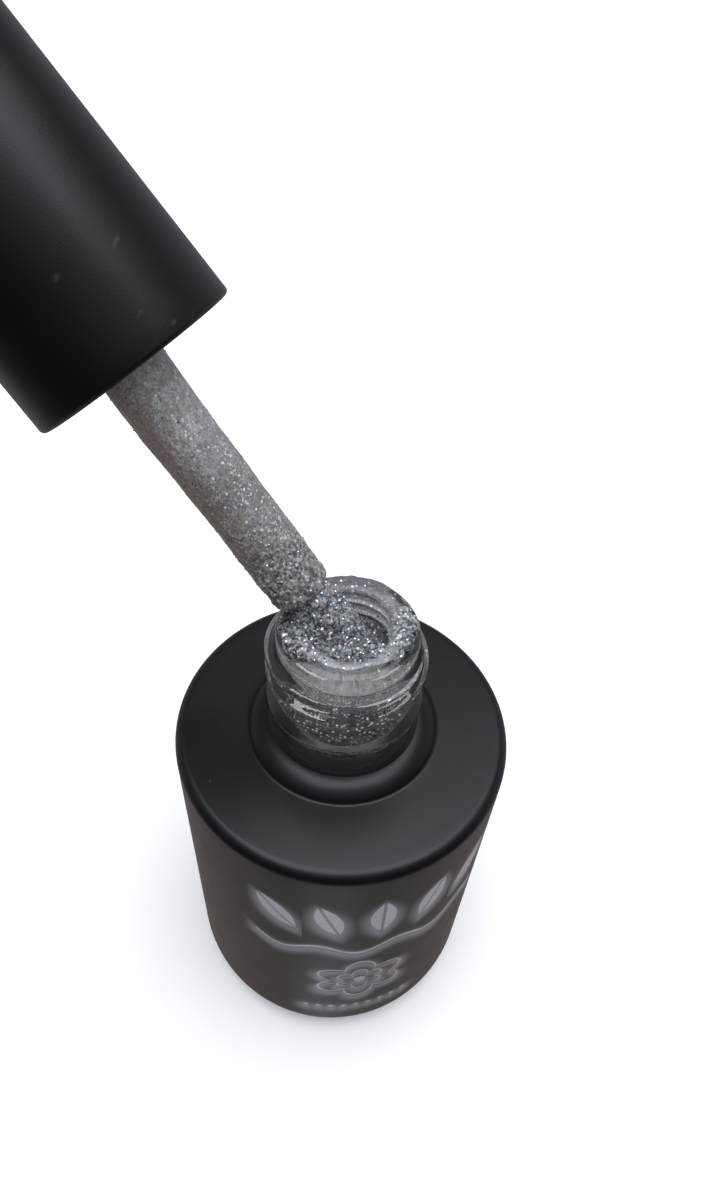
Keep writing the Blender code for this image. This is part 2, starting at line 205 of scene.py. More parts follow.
def skin(name, rings, poles=(None, None), ring=False, place=None, sharp=40):
    """A mesh over closed rings of points, which run down the outside.

    A pole closes an end that narrows to a point, and ring=True joins the last ring to the first.
    """
    rows, columns = rings.shape[:2]
    points = rings.reshape(-1, 3).tolist()
    here = np.arange(columns)
    beside = (here + 1) % columns
    faces = []
    for row in range(rows if ring else rows - 1):
        top = row * columns
        below = (row + 1) % rows * columns
        quads = np.stack([top + here, below + here, below + beside, top + beside], 1)
        faces += quads.tolist()
    last = (rows - 1) * columns
    for pole, row, one, two in ((poles[0], 0, here, beside), (poles[1], last, beside, here)):
        if pole is not None:
            faces += [[len(points), int(row + i), int(row + j)] for i, j in zip(one, two)]
            points.append(list(pole))
    mesh = bpy.data.meshes.new(name)
    mesh.from_pydata(points, [], faces)
    return shaded(name, mesh, place, sharp)


def added(name, data):
    """A new object in the scene for a mesh, a light or a camera."""
    obj = bpy.data.objects.new(name, data)
    bpy.context.scene.collection.objects.link(obj)
    return obj


def shaded(name, mesh, place=None, sharp=40):
    """An object for a mesh, smooth but for its edges sharper than that many degrees."""
    mesh.shade_smooth()
    mesh.set_sharp_from_angle(angle=math.radians(sharp))
    obj = added(name, mesh)
    if place is not None:
        obj.matrix_world = place
    return obj


def turned(name, profile, columns, ring=False, place=None, swell=None, sharp=40):
    """A profile turned about Z, running down the outside. swell(angle, r, z) adds to its radius."""
    ends = (profile[0], profile[-1])
    poles = [(0, 0, z) if r == 0 and not ring else None for r, z in ends]
    if not ring:
        profile = [point for point in profile if point[0] != 0]
    r, z = (np.array(values)[:, None] for values in zip(*profile))
    angle = np.arange(columns)[None, :] * TAU / columns
    level = 0 * angle
    radius = r + (swell(angle, r, z) if swell else level)
    rings = np.stack([radius * np.cos(angle), radius * np.sin(angle), z + level], 2)
    return skin(name, rings, poles, ring, place, sharp)


def thread(angle, z, top, turns, crest_half, foot_half):
    """A right-hand screw ridge winding down from top, from 0 at its foot to 1 on its crest."""
    height = np.zeros(np.broadcast(angle, z).shape)
    fade = 0.16  # share of a turn over which each end of the ridge dies away
    for lap in range(math.ceil(turns)):
        turn = (-angle % TAU) / TAU + lap
        grown = np.sin(np.clip(np.minimum(turn, turns - turn) / fade, 0, 1) * math.pi / 2)
        from_crest = np.abs(z - (top - turn * PITCH))
        slope = (from_crest - crest_half) / (foot_half - crest_half)
        height = np.maximum(height, grown * (1 - smooth_step(slope)))
    return height


# Shader nodes ------------


class Term:
    """A socket that ordinary arithmetic turns into Math nodes."""

    def __init__(self, shader, socket):
        self.shader = shader
        self.socket = socket

    def calc(self, operation, *others):
        node = self.shader.node("Math", (self, *others), operation=operation)
        return Term(self.shader, node.outputs[0])

    __add__ = partialmethod(calc, "ADD")
    __sub__ = partialmethod(calc, "SUBTRACT")
    __mul__ = partialmethod(calc, "MULTIPLY")
    __truediv__ = partialmethod(calc, "DIVIDE")
    __abs__ = partialmethod(calc, "ABSOLUTE")
    least = partialmethod(calc, "MINIMUM")
    most = partialmethod(calc, "MAXIMUM")
    sin = partialmethod(calc, "SINE")
    cos = partialmethod(calc, "COSINE")

    def __neg__(self):
        return self * -1

    def __rsub__(self, other):
        return -self + other

    def reaches(self, start, end):
        """0 at start, 1 at end, smooth between them and held outside them."""
        values = (self, start, end, 0.0, 1.0)
        node = self.shader.node("MapRange", values, interpolation_type="SMOOTHSTEP")
        return Term(self.shader, node.outputs[0])


def length(x, y):
    return (x * x + y * y).calc("SQRT")


def rgba(colour):
    """A colour as a socket takes it, from its three parts or from a grey."""
    return (*colour, 1) if isinstance(colour, tuple) else (colour, colour, colour, 1)


def scaled(colour, share):
    return tuple(part * share for part in colour)


class Tree:
    """A node tree, and short ways to build in it. place names the coordinates it works with."""

    def __init__(self, node_tree, place):
        self.nodes = node_tree.nodes
        self.links = node_tree.links
        self.place = self.nodes.new("ShaderNodeTexCoord").outputs[place]

    def feed(self, socket, value):
        if isinstance(value, Term):
            value = value.socket
        if isinstance(value, bpy.types.NodeSocket):
            self.links.new(value, socket)
        else:
            socket.default_value = rgba(value) if socket.type == "RGBA" else value

    def node(self, kind, values, **settings):
        """A new node. values feed its first inputs in order, or the inputs that they name."""
        node = self.nodes.new("ShaderNode" + kind)
        for name, value in settings.items():
            setattr(node, name, value)
        for key, value in values.items() if isinstance(values, dict) else enumerate(values):
            self.feed(node.inputs[key], value)
        return node

    def axes(self):
        return [Term(self, out) for out in self.node("SeparateXYZ", [self.place]).outputs]

    def split(self, colour):
        return [Term(self, out) for out in self.node("SeparateColor", [colour]).outputs]

    def noise(self, size, detail=3.0, roughness=0.5, place=None):
        values = {"Scale": 1 / size, "Detail": detail, "Roughness": roughness}
        node = self.node("TexNoise", {"Vector": place or self.place, **values})
        return Term(self, node.outputs[0])

    def cells(self, size):
        """Voronoi cells of about that size: distance from their centre, and random colour."""
        node = self.node("TexVoronoi", {"Vector": self.place, "Scale": 1 / size})
        return Term(self, node.outputs["Distance"]), node.outputs["Color"]

    def ramp(self, value, *stops):
        """A colour ramp through stops of (position, colour or grey)."""
        node = self.node("ValToRGB", [value])
        elements = node.color_ramp.elements
        while len(elements) < len(stops):
            elements.new(1.0)
        for element, (position, colour) in zip(elements, stops):
            element.position = position
            element.color = rgba(colour)
        return node.outputs[0]

    def mix(self, share, one, two, blend="MIX"):
        values = {0: share, 6: one, 7: two}
        return self.node("Mix", values, data_type="RGBA", blend_type=blend).outputs[2]

    def vector(self, operation, *values):
        slots = (0, "Scale") if operation == "SCALE" else (0, 1)
        return self.node("VectorMath", dict(zip(slots, values)), operation=operation).outputs[0]

    def bump(self, height, depth):
        """A normal for a height of 0 to 1 that stands for that depth in metres."""
        return self.node("Bump", {"Height": height, "Distance": depth}).outputs[0]


class Shader(Tree):
    """A new material with a Principled BSDF."""

    def __init__(self, name, **values):
        self.material = bpy.data.materials.new(name)
        self.material.use_nodes = True
        super().__init__(self.material.node_tree, "Object")
        self.surface = self.nodes["Principled BSDF"]
        self.set(**values)

    def set(self, **values):
        """Feeds the Principled BSDF: base_color=... goes to Base Color."""
        for name, value in values.items():
            words = name.replace("_", " ").title().replace("Ior", "IOR")
            self.feed(self.surface.inputs[words], value)

    def let_lamps_through(self):
        """Lamps light what lies behind the surface: their rays pass straight through it."""
        clear = self.nodes.new("ShaderNodeBsdfTransparent").outputs[0]
        lamp_ray = self.nodes.new("ShaderNodeLightPath").outputs["Is Shadow Ray"]
        mix = self.node("MixShader", (lamp_ray, self.surface.outputs[0], clear))
        self.feed(self.nodes["Material Output"].inputs["Surface"], mix.outputs[0])


# Materials ------------


def specks(shader, size, share, reach):
    """Sparse small spots, 1 on a spot: a share of the cells of that size holds one."""
    distance, colour = shader.cells(size)
    lucky = shader.split(colour)[0].calc("GREATER_THAN", 1 - share)
    return lucky * (reach - distance).reaches(0, reach * 0.6)


def matt_black(name, tone, worn, print_layer=None):
    """Soft matt black paint: fine grain, faint rubbed patches and a little dust."""
    shader = Shader(name, specular_ior_level=0.5)
    rubbed = shader.noise(7 * MM, 4, 0.6).reaches(0.45, 0.75)
    colour = shader.mix(rubbed * 0.5, tone, scaled(tone, 1.7))
    dust = specks(shader, 0.9 * MM, 0.05, 0.09).most(specks(shader, 0.45 * MM, 0.03, 0.12) * 0.6)
    colour = shader.mix(dust * worn, colour, (0.2, 0.17, 0.15))
    roughness = shader.noise(3 * MM, 3, 0.55) * 0.1 + 0.29
    if print_layer:
        ink, painted_glow = print_layer(shader)
        # Painted glow: lighter paint below the print stands for light seen through the glass under
        # it.
        colour = shader.mix(painted_glow, colour, (0.6, 0.62, 0.65))
        colour = shader.mix(ink, colour, (0.93, 0.95, 0.96))
        roughness = roughness - ink * 0.08
    shader.set(base_color=colour, roughness=roughness + dust * 0.3)
    shader.set(normal=shader.bump(shader.noise(0.12 * MM, 3, 0.6), 0.006 * MM))
    return shader


PRINT_MIDDLE = 4.7 * MM
LEAF_STEP = 4.7 * MM
LEAF_ROW = 29.0 * MM
TENDRIL_ROW = 22.6 * MM
ROSETTE_MIDDLE = 3.3 * MM
ROSETTE_ROW = 14.8 * MM
DOT_ROW = 7.3 * MM


def botanical_print(shader):
    """A plain printed sprig, tendril, flower and row of dots, with a painted glow below the print.

    The drawing is laid out on the unrolled side: x runs round the bottle from the front, y up.
    """
    x, y, z = shader.axes()
    round_bottle = x.calc("ARCTAN2", -y) * BODY_RADIUS
    on_side = length(x, y).reaches(BODY_RADIUS - 0.4 * MM, BODY_RADIUS - 0.2 * MM)

    def drawing(across, up):
        """Distance from the nearest printed line or leaf, in metres and negative inside it."""
        place = across - PRINT_MIDDLE
        leaf = (place / LEAF_STEP).calc("ROUND").most(-2.0).least(2.0)
        own = place - leaf * LEAF_STEP
        rise = up - LEAF_ROW
        tilt = leaf * 0.32
        along = rise * tilt.cos() + own * tilt.sin()
        aside = own * tilt.cos() - rise * tilt.sin()
        half = 3.0 * MM  # of a leaf's length
        leaves = abs(aside) - (along * along * (-1 / half**2) + 1.0) * (1.15 * MM)
        midrib = -abs(aside) + 0.14 * MM
        leaves = leaves.most(midrib)

        in_row = abs(place) - 11.6 * MM
        wave = (place * (TAU / (7.4 * MM))).sin() * (0.75 * MM)
        tendril = (abs(up - TENDRIL_ROW - wave) - 0.2 * MM).most(in_row)

        flower_x = across - ROSETTE_MIDDLE
        flower_y = up - ROSETTE_ROW
        reach = length(flower_x, flower_y)
        turn = flower_y.calc("ARCTAN2", flower_x)
        petal = (turn * 3).sin()
        outer = abs(reach - (abs(petal) * 1.6 * MM + 2.9 * MM)) - 0.13 * MM
        inner = abs(reach - (abs(petal) * 0.9 * MM + 1.5 * MM)) - 0.11 * MM
        heart = reach - 0.55 * MM
        flower = outer.least(inner).least(heart)

        step = 1.3 * MM
        spot = (flower_x / step).calc("ROUND").most(-4.0).least(4.0)
        dots = length(flower_x - spot * step, up - DOT_ROW) - 0.28 * MM
        return leaves.least(tendril).least(flower).least(dots)

    rough_edge = (shader.noise(0.4 * MM, 2) - 0.5) * (0.1 * MM)
    sharp = drawing(round_bottle, z) + rough_edge
    # Painted glow: the drawing set lower gives a light halo below the print, which stands for light
    # seen through the glass under the print.
    below = drawing(round_bottle, z + 0.75 * MM)
    ink = (-sharp).reaches(-0.06 * MM, 0.06 * MM) * on_side
    worn = shader.noise(1.6 * MM, 3).reaches(0.25, 0.55) * 0.25 + 0.75
    painted_glow = (-below).reaches(-2.2 * MM, 0.4 * MM)
    return ink * worn, painted_glow * painted_glow * on_side * 0.8


def clear_glass():
    """The bare glass of the neck, with faint mould waves and finger grease."""
    glass = {"base_color": (0.93, 0.94, 0.95), "transmission_weight": 1.0, "ior": 1.5}
    shader = Shader("clear_glass", **glass)
    shader.set(roughness=shader.noise(1.5 * MM, 3).reaches(0.5, 0.8) * 0.08 + 0.01)
    shader.set(normal=shader.bump(shader.noise(2.2 * MM, 2), 0.05 * MM))
    shader.let_lamps_through()
    return shader


def glitter(name, size, gel, coarse, sparkle, wet=0.06, wet_bump=0.03, retouch=None):
    """Silver glitter in gel: round flakes in cells of that size, each with its own tint and tilt.

    gel is the colour between the flakes. coarse goes from 0, a smooth fine sparkle, to 1, chunks
    with dark gaps, as a number or a function of the new shader. sparkle is the share of bright
    flakes. The sparkle, the spread of the flakes from near black to white and the dark gaps are
    painted glints, painted reflection and painted shade. wet is the roughness of the wet surface
    and wet_bump the depth of its waves in millimetres. retouch(shader, colour) may change the
    colour.
    """
    shader = Shader(name)
    coarse = coarse(shader) if callable(coarse) else coarse
    distance, random_colour = shader.cells(size)
    fine_distance, fine_colour = shader.cells(size * 0.45)
    shade, hue, tilt = shader.split(random_colour)
    fine_shade = shader.split(fine_colour)[0]

    clouds = shader.noise(size * 3.2, 2, 0.5)
    # Painted shade: dark gaps between the chunks, where little light gets in.
    painted_gap_shade = (-shader.noise(size * 1.4, 1)).reaches(-0.54, -0.45) * coarse
    between = shader.mix(clouds.reaches(0.35, 0.65), scaled(gel, 0.72), gel)
    between = shader.mix(painted_gap_shade * 0.85, between, (0.012, 0.012, 0.018))
    # Painted sparkle: fine bright dots added to the colour between the flakes.
    fine = shader.ramp(fine_shade, (0.0, 0.0), (0.6, 0.06), (0.86, 0.3), (0.97, 1.0))
    fine_dot = (-fine_distance).reaches(-0.6, -0.15)
    between = shader.mix(fine_dot * (1.0 - painted_gap_shade) * 0.42, between, fine, "ADD")
    # Painted reflection: each flake's brightness, from near black to white, stands for how it
    # catches the light; its tint is its own.
    bright = ((1 - sparkle * 1.6, 0.5), (1 - sparkle, 1.0))
    silver = shader.ramp(shade, (0.0, 0.03), (0.3, 0.07), (0.55, 0.26), *bright)
    tinted = shader.ramp(
        hue,
        (0.0, (1.0, 0.86, 0.7)),
        (0.2, (1.0, 0.93, 0.85)),
        (0.3, 1.0),
        (0.86, (0.94, 0.97, 1.0)),
        (0.91, (0.55, 1.0, 0.97)),
        (1.0, (0.7, 0.85, 1.0)),
    )
    flakes = shader.mix(1.0, silver, tinted, "MULTIPLY")
    dot = (-distance).reaches(-0.66, -0.3) * shade.reaches(0.3, 0.5)
    colour = shader.mix(dot * (coarse * 0.75 + 0.15), between, flakes)
    if retouch:
        colour = retouch(shader, colour)

    leans = [
        shader.vector("SCALE", shader.vector("SUBTRACT", colour_there, (0.5, 0.5, 0.5)), reach)
        for colour_there, reach in ((random_colour, coarse * 1.1), (fine_colour, 0.5))
    ]
    facing = shader.nodes.new("ShaderNodeNewGeometry").outputs["Normal"]
    leaning = shader.vector("ADD", *leans)
    tilted = shader.vector("NORMALIZE", shader.vector("ADD", facing, leaning))
    waves = shader.bump(shader.noise(0.5 * MM, 2), wet_bump * MM)
    shader.set(
        base_color=colour,
        metallic=dot * (coarse * 0.45 + 0.1),
        roughness=tilt * 0.25 + 0.25,
        normal=tilted,
        coat_weight=0.8,
        coat_roughness=wet,
        coat_ior=1.48,
        coat_normal=waves,
    )
    return shader


def flake_metal(name, colour):
    """Bright film of one glitter flake, a little mottled."""
    shader = Shader(name, metallic=0.75)
    mottled = shader.noise(0.05 * MM, 2).reaches(0.3, 0.7)
    shader.set(base_color=shader.mix(mottled, scaled(colour, 0.7), colour))
    shader.set(roughness=shader.noise(0.1 * MM, 1) * 0.2 + 0.15)
    return shader


def moulded_plastic(name, colour, roughness, translucency=0.0):
    """Injection-moulded plastic with flow marks and a fine even grain."""
    shader = Shader(name, subsurface_weight=translucency)
    shader.surface.inputs["Subsurface Radius"].default_value = (MM, MM, MM)
    flow = shader.noise(2.5 * MM, 3).reaches(0.3, 0.7)
    shader.set(base_color=shader.mix(flow, scaled(colour, 0.88), colour))
    shader.set(roughness=shader.noise(1.2 * MM, 2) * 0.15 + roughness)
    shader.set(normal=shader.bump(shader.noise(0.15 * MM, 2), 0.01 * MM))
    return shader


def liner_foam():
    """White cellular foam with tiny closed pores."""
    shader = Shader("liner_foam")
    pore_depth_and_shade = shader.cells(0.16 * MM)[0].reaches(0.1, 0.6)
    # Painted shade: the foam is darker in its pores; the same mask dents them.
    shader.set(base_color=shader.mix(pore_depth_and_shade, (0.62, 0.62, 0.6), (0.86, 0.86, 0.84)))
    shader.set(roughness=shader.noise(0.6 * MM) * 0.2 + 0.65)
    shader.set(normal=shader.bump(pore_depth_and_shade, 0.03 * MM))
    return shader


def anchor_steel():
    """Drawn steel wire, with fine scratches along the cap's axis."""
    shader = Shader("anchor_steel", metallic=1.0)
    stretched = shader.vector("MULTIPLY", shader.place, (1.0, 1.0, 0.1))
    scratches = shader.noise(0.08 * MM, 3, 0.6, stretched)
    shader.set(base_color=shader.mix(scratches, (0.42, 0.42, 0.43), (0.68, 0.68, 0.7)))
    shader.set(roughness=scratches * 0.25 + 0.22)
    return shader


def wet_bristle():
    """Clear nylon filaments stained grey by the gel, glossy along their length."""
    shader = Shader("wet_bristle", coat_weight=0.6, coat_roughness=0.08)
    stained = shader.noise(0.7 * MM, 3).reaches(0.3, 0.7)
    shader.set(base_color=shader.mix(stained, (0.3, 0.3, 0.31), (0.62, 0.62, 0.6)))
    shader.set(roughness=shader.noise(0.4 * MM, 2) * 0.2 + 0.25)
    return shader


# The bottle ------------


def finished(obj, shader, body, slot, *nodes):
    """Dresses a piece, sets it riding on its body and hides the CAD nodes that it stands for."""
    obj.data.materials.append(shader.material)
    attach(obj, body)
    if nodes:
        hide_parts(*nodes)
    return obj


def coated_body():
    """The painted glass from the base to the foot of the clear neck, hollow inside."""
    cavity = BODY_RADIUS - WALL
    ceiling = SHOULDER - WALL
    profile = [(0, FLOOR_THICKNESS)]
    profile += corner(cavity, FLOOR_THICKNESS, INNER_CORNER, -90, 0, 12)
    profile += corner(cavity, ceiling, INNER_CORNER, 0, 90, 12)
    profile += corner(BORE, ceiling, MM, 270, 180, 8)
    profile += [(BORE, COAT_END - COAT), (NECK_RADIUS, COAT_END - COAT)]
    profile += arc(COVE_MIDDLE, COVE - COAT, COAT_END_ANGLE, 232, 5)
    profile += arc((COLLAR_CREST, COLLAR_TOP - COLLAR_DOME), COLLAR_DOME, 83, 35, 18)
    profile += arc((COLLAR_RADIUS, SHOULDER + COLLAR_FILLET), COLLAR_FILLET, 215, 270, 8)
    profile += corner(BODY_RADIUS, SHOULDER, SHOULDER_EDGE, 90, 0, 14)
    profile += corner(BODY_RADIUS, 0, HEEL, 0, -90, 24)
    profile.append((0, 0))

    def unevenness(angle, r, z):
        """Blown glass isn't quite true: a few hundredths of a millimetre on the outside."""
        outside = np.clip((r - cavity) / WALL, 0, 1)
        wave = np.sin(3 * angle + z / (9 * MM)) + np.sin(2 * angle - z / (13 * MM))
        return outside * wave * 0.008 * MM

    body = turned("coated_body", dense(profile, 0.8 * MM), 256, swell=unevenness)
    paint = matt_black("matt_black_paint", (0.0036, 0.0036, 0.0042), 0.5, botanical_print)
    return finished(body, paint, "bottle", "bottle_glass", "glass_bottle")


def clear_neck():
    """The bare glass neck: lip, screw thread and bead. Its foot stands in the painted body."""
    foot = COAT_END - 0.3 * MM
    lip_foot = RIM - LIP_DEPTH
    profile = corner(BORE, RIM, LIP_INNER_EDGE, 180, 90, 8)
    profile += corner(LIP_RADIUS, RIM, LIP_OUTER_EDGE, 90, 0, 14)
    profile += arc((NECK_RADIUS - 0.02 * MM, lip_foot), UNDERCUT, 180, 240, 6)
    step = 0.06 * MM
    start = profile[-1][1]
    for i in range(1, int((start - COVE_MIDDLE[1]) / step) + 1):
        z = start - i * step
        along = min(1, abs(z - BEAD_HEIGHT) / BEAD_HALF)
        bead = (BEAD_RADIUS - NECK_RADIUS) * (0.5 + 0.5 * math.cos(along * math.pi))
        profile.append((NECK_RADIUS + bead, z))
    profile += arc(COVE_MIDDLE, COVE, 180, COAT_END_ANGLE, 6)
    profile += [(NECK_RADIUS, foot), (BORE, foot)]

    def ridge(angle, r, z):
        outside = r > LIP_RADIUS + 0.05 * MM
        reach = THREAD_RADIUS - NECK_RADIUS
        return outside * reach * thread(angle, z, THREAD_TOP, THREAD_TURNS, *THREAD_HALVES)

    neck = turned("clear_neck", dense(profile, 0.3 * MM), 288, ring=True, swell=ridge, sharp=60)
    return finished(neck, clear_glass(), "bottle", "bottle_glass")


def gel_inside():
    """The gel in the body, with a curled-up edge and a dimpled surface."""
    reach = BODY_RADIUS - WALL - 0.3 * MM
    floor = FLOOR_THICKNESS + 0.3 * MM
    level = GEL_LEVEL - 0.5 * MM
    profile = [(0, level), (reach * 0.8, level)]
    profile += [(reach * 0.9, level + 0.1 * MM), (reach - 0.25 * MM, GEL_LEVEL), (reach, GEL_LEVEL)]
    profile += corner(reach, floor, INNER_CORNER, 0, -90, 10)
    profile.append((0, floor))
    fill = turned("gel_inside", dense(profile, 0.7 * MM), 160)
    shader = glitter("pool_glitter", 0.24 * MM, (0.2, 0.2, 0.21), 0.6, 0.14)
    return finished(fill, shader, "bottle", "glitter_gel", "polish_fill")


def near(angle, degrees, reach, flat=2):
    """1 at a heading round the neck, falling to 0 about that many degrees away from it."""
    away = np.abs((np.degrees(angle) - degrees + 180) % 360 - 180)
    return np.exp(-((away / reach) ** flat))


RUNS = (
    # runs of gel that hang round the back and right of the bore, in millimetres:
    # depth below the rim, how much lower at the back, how far it stands out, half its width
    (0.3, 0.75, 0.24, 0.2),
    (1.15, 1.0, 0.3, 0.26),
    (2.5, 0.9, 0.2, 0.3),
)


def neck_film():
    """Gel smeared over the lip and down the bore, in lumps at the sides and in runs inside.

    Headings are in degrees from +X: the front of the neck is at -90.
    """
    columns = 340
    angle, around = circle(columns)
    ragged = lumps(around * 5 * MM, 0.8 * MM, 3, 3)
    bare = near(angle, -84, 46, 4) - 0.25 * near(angle, -90, 9)
    start = (5.5 - 1.05 * bare) * MM + ragged * 0.22 * MM
    inner, outer = LIP_INNER_EDGE, LIP_OUTER_EDGE
    flat_end = BORE + inner
    path = corner(BORE, RIM, inner, 90, 180, 8) + [(BORE, COAT_END + 0.4 * MM)]
    path = dense(path, 0.075 * MM)
    top_rows = 26  # over the top of the lip, before the path down the bore

    points, normals, edge = [], [], []
    for i in range(top_rows):
        r = start + (flat_end - start) * (i / top_rows)
        rounding = np.clip(r - (LIP_RADIUS - outer), 0, outer)
        points.append(spokes(around, r, RIM - outer + np.sqrt(outer**2 - rounding**2)))
        normals.append(spokes(around, rounding / outer, np.sqrt(1 - (rounding / outer) ** 2)))
        edge.append(np.clip((start - r) / (0.3 * MM), 0, 1) ** 0.5)
    for i, (r, z) in enumerate(path):
        facing = Vector((flat_end - r, z - (RIM - inner)) if z >= RIM - inner else (1, 0))
        facing.normalize()
        points.append(spokes(around, r, z))
        normals.append(spokes(around, -facing[0], facing[1]))
        edge.append(np.full(columns, min(1, (len(path) - 1 - i) / 6)))
    points, normals, edge = np.array(points), np.array(normals), np.array(edge)

    depth = (RIM - points[:, :, 2]) / MM
    on_top = 1 - smooth_step(depth / 0.9)
    heaped = np.maximum(near(angle, *LEFT_HEAP), 0.8 * near(angle, *RIGHT_HEAP))
    coarse = lumps(points, 1.1 * MM, 5)
    fine = lumps(points, 0.34 * MM, 8)
    thick_top = 0.07 + 0.02 * coarse + heaped * (0.2 + 0.2 * coarse + 0.13 * fine)
    radius = np.hypot(points[:, :, 0], points[:, :, 1]) / MM
    crest = np.exp(-(((radius - 4.3 - 0.1 * coarse) / 0.16) ** 2)) * near(angle, 52, 34, 4)
    thick_top = thick_top + 0.1 * crest * (0.6 + 0.6 * coarse) + 0.1 * near(angle, 60, 80, 4)
    sag = np.sin(np.clip(angle, 0, math.pi))
    open_side = near(angle, 45, 85, 4)
    drift = 0.12 * lumps(points, 2.4 * MM, 11)
    runs = 0
    for level, drop, proud, half in RUNS:
        runs = runs + proud * np.exp(-(((depth - level - drop * sag - drift) / half) ** 2))
    thick_bore = 0.09 + open_side * runs + 0.03 * coarse + 0.02 * fine
    thickness = np.clip(on_top * thick_top + (1 - on_top) * thick_bore, 0.02, 0.6) * MM
    outside = points + normals * (thickness * edge + 0.012 * MM)[:, :, None]
    # The back of the film lies just inside the glass, as gel that wets it has no gap behind it.
    inside = points - normals * 0.02 * MM
    rings = np.concatenate([outside, inside[::-4]])
    film = skin("neck_film", rings[:, ::-1], ring=True, sharp=80)
    return finished(film, film_glitter(), "bottle", "glitter_gel")


def film_glitter():
    """Coarse where the gel is heaped on the lip, fine on its front, its back and in the bore."""

    def coarse(shader):
        x, y, z = shader.axes()
        left = (-x).reaches(1.2 * MM, 3.6 * MM)
        right = x.reaches(3.2 * MM, 4.4 * MM) * (-y).reaches(-3.4 * MM, -1.6 * MM)
        on_lip = z.reaches(RIM - 1.4 * MM, RIM - 0.3 * MM)
        return left.most(right) * on_lip * 0.8 + 0.12

    def behind_glass(shader, colour):
        """The back of the film, seen through the glass, and tones on what can be seen directly,
        with painted light, painted glints and painted shade among them.
        """
        x, y, z = shader.axes()
        back = length(x, y).reaches(BORE - 0.004 * MM, BORE + 0.004 * MM)
        back = back * (-z).reaches(-RIM, -RIM + 0.01 * MM)
        # Painted light: near the lip the back of the film is light and cloudy, for light that comes
        # through the translucent gel; lower down it is darker and brown, with specks.
        milky_lit_band = z.reaches(RIM - 4.1 * MM, RIM - 3.4 * MM)
        brown = shader.noise(1.6 * MM, 3).reaches(0.35, 0.65)
        deep = shader.mix(brown, (0.03, 0.03, 0.034), (0.075, 0.064, 0.056))
        deep = shader.mix(specks(shader, 0.26 * MM, 0.5, 0.42) * 0.9, deep, 0.95)
        cloud = shader.noise(0.35 * MM, 2).reaches(0.3, 0.7)
        cloudy = shader.mix(cloud, (0.23, 0.23, 0.226), (0.38, 0.38, 0.375))
        dim = shader.mix(milky_lit_band, deep, shader.mix(brown * 0.35, cloudy, (0.2, 0.165, 0.14)))
        far_lip = y.reaches(0.2 * MM, 2.2 * MM) * z.reaches(RIM - 0.4 * MM, RIM - 0.2 * MM)
        far_lip = far_lip * (x * 0.6 - y).reaches(-0.5 * MM, -2.5 * MM)
        colour = shader.mix(far_lip * 0.72, colour, (0.075, 0.075, 0.08))
        # Painted light: a band of the bore below the lip is made much lighter, with painted glints,
        # for the lit wall and the bright streaks on its runs.
        painted_light_band = z.reaches(RIM - 3 * MM, RIM - 2 * MM)
        painted_light_band = painted_light_band * (-z).reaches(-RIM + 0.2 * MM, -RIM + 0.5 * MM)
        glints = specks(shader, 0.24 * MM, 0.5, 0.45) * 0.6 + 0.35
        colour = shader.mix(painted_light_band * glints, colour, 0.9)
        # Painted shade: dark patches near the lip's outer edge at the left and right, where the
        # lumpy gel lies in shade; these hole marks are not holes in the film.
        edge = length(x, y).reaches(4.4 * MM, 4.9 * MM) * abs(x).reaches(2.4 * MM, 3.6 * MM)
        hole = shader.noise(0.7 * MM, 2).reaches(0.46, 0.54) * edge
        colour = shader.mix(hole * 0.9, colour, (0.008, 0.008, 0.012))
        return shader.mix(back, colour, dim)

    gel = (0.27, 0.27, 0.275)
    return glitter("film_glitter", 0.26 * MM, gel, coarse, 0.17, 0.1, 0.06, behind_glass)


# Where the gel in the mouth ends: it fills the side of the mouth away from this heading.
OPEN_HEADING = Vector((0.753, 0.658, 0))
OPEN_FROM = 0.55 * MM


def mouth_gel():
    """The heap of gel that the brush left in the mouth. It falls to a bowl on the open side."""
    angle, around = circle(220)
    reach = BORE + (0.3 - 0.36 * near(angle, 41, 85, 4)) * MM
    inward = 1 - np.arange(60) / 60
    points = around[None] * reach[None, :, None] * inward[:, None, None]

    def surface(points):
        toward = points @ np.array(OPEN_HEADING)
        fall = smooth_step((toward - OPEN_FROM) / (2.3 * MM))
        radius = np.hypot(points[..., 0], points[..., 1])
        climb = smooth_step((radius - 2.7 * MM) / (1.0 * MM)) * (0.15 + 0.6 * fall) * MM
        uneven = 1 - 0.8 * fall
        coarse = 0.26 * MM * uneven * lumps(points, 0.8 * MM, 21)
        fine = 0.14 * MM * uneven * lumps(points, 0.32 * MM, 22)
        return RIM - 0.15 * MM + climb - fall * 3.0 * MM + (coarse + fine)

    top = points.copy()
    top[..., 2] = surface(points)
    centre = np.zeros((1, 1, 3))
    peak = float(surface(centre)[0, 0])
    bottom = points[::4] * np.array([0.9, 0.9, 1.0])
    depth = 1 - inward[::4, None] ** 3
    bottom[..., 2] = top[::4, :, 2] - 0.15 * MM - 1.6 * MM * depth
    rings = np.concatenate([top[::-1], bottom])
    heap = skin("mouth_gel", rings, poles=((0, 0, peak), (0, 0, peak - 1.75 * MM)), sharp=80)

    def coarse(shader):
        x, y, _ = shader.axes()
        toward = x * OPEN_HEADING.x + y * OPEN_HEADING.y
        return (-toward).reaches(-OPEN_FROM - 1.5 * MM, -OPEN_FROM) * 0.75 + 0.25

    def deepened(shader, colour):
        """Clumps of the heap are darker, where little light gets in between the flakes."""
        clump = shader.noise(0.9 * MM, 2, 0.6).reaches(0.4, 0.58)
        return shader.mix(clump * 0.62, colour, (0.025, 0.025, 0.03))

    gel = (0.12, 0.12, 0.127)
    shader = glitter("heap_glitter", 0.28 * MM, gel, coarse, 0.15, 0.06, 0.05, deepened)
    return finished(heap, shader, "bottle", "glitter_gel")


# The brush cap ------------


def cap_radius(height):
    """The shell narrows evenly from its mouth to its top."""
    return CAP_RADIUS - TAPER * (height - CAP_MOUTH)


def shell_bore(height):
    return cap_radius(height) - SHELL_WALL


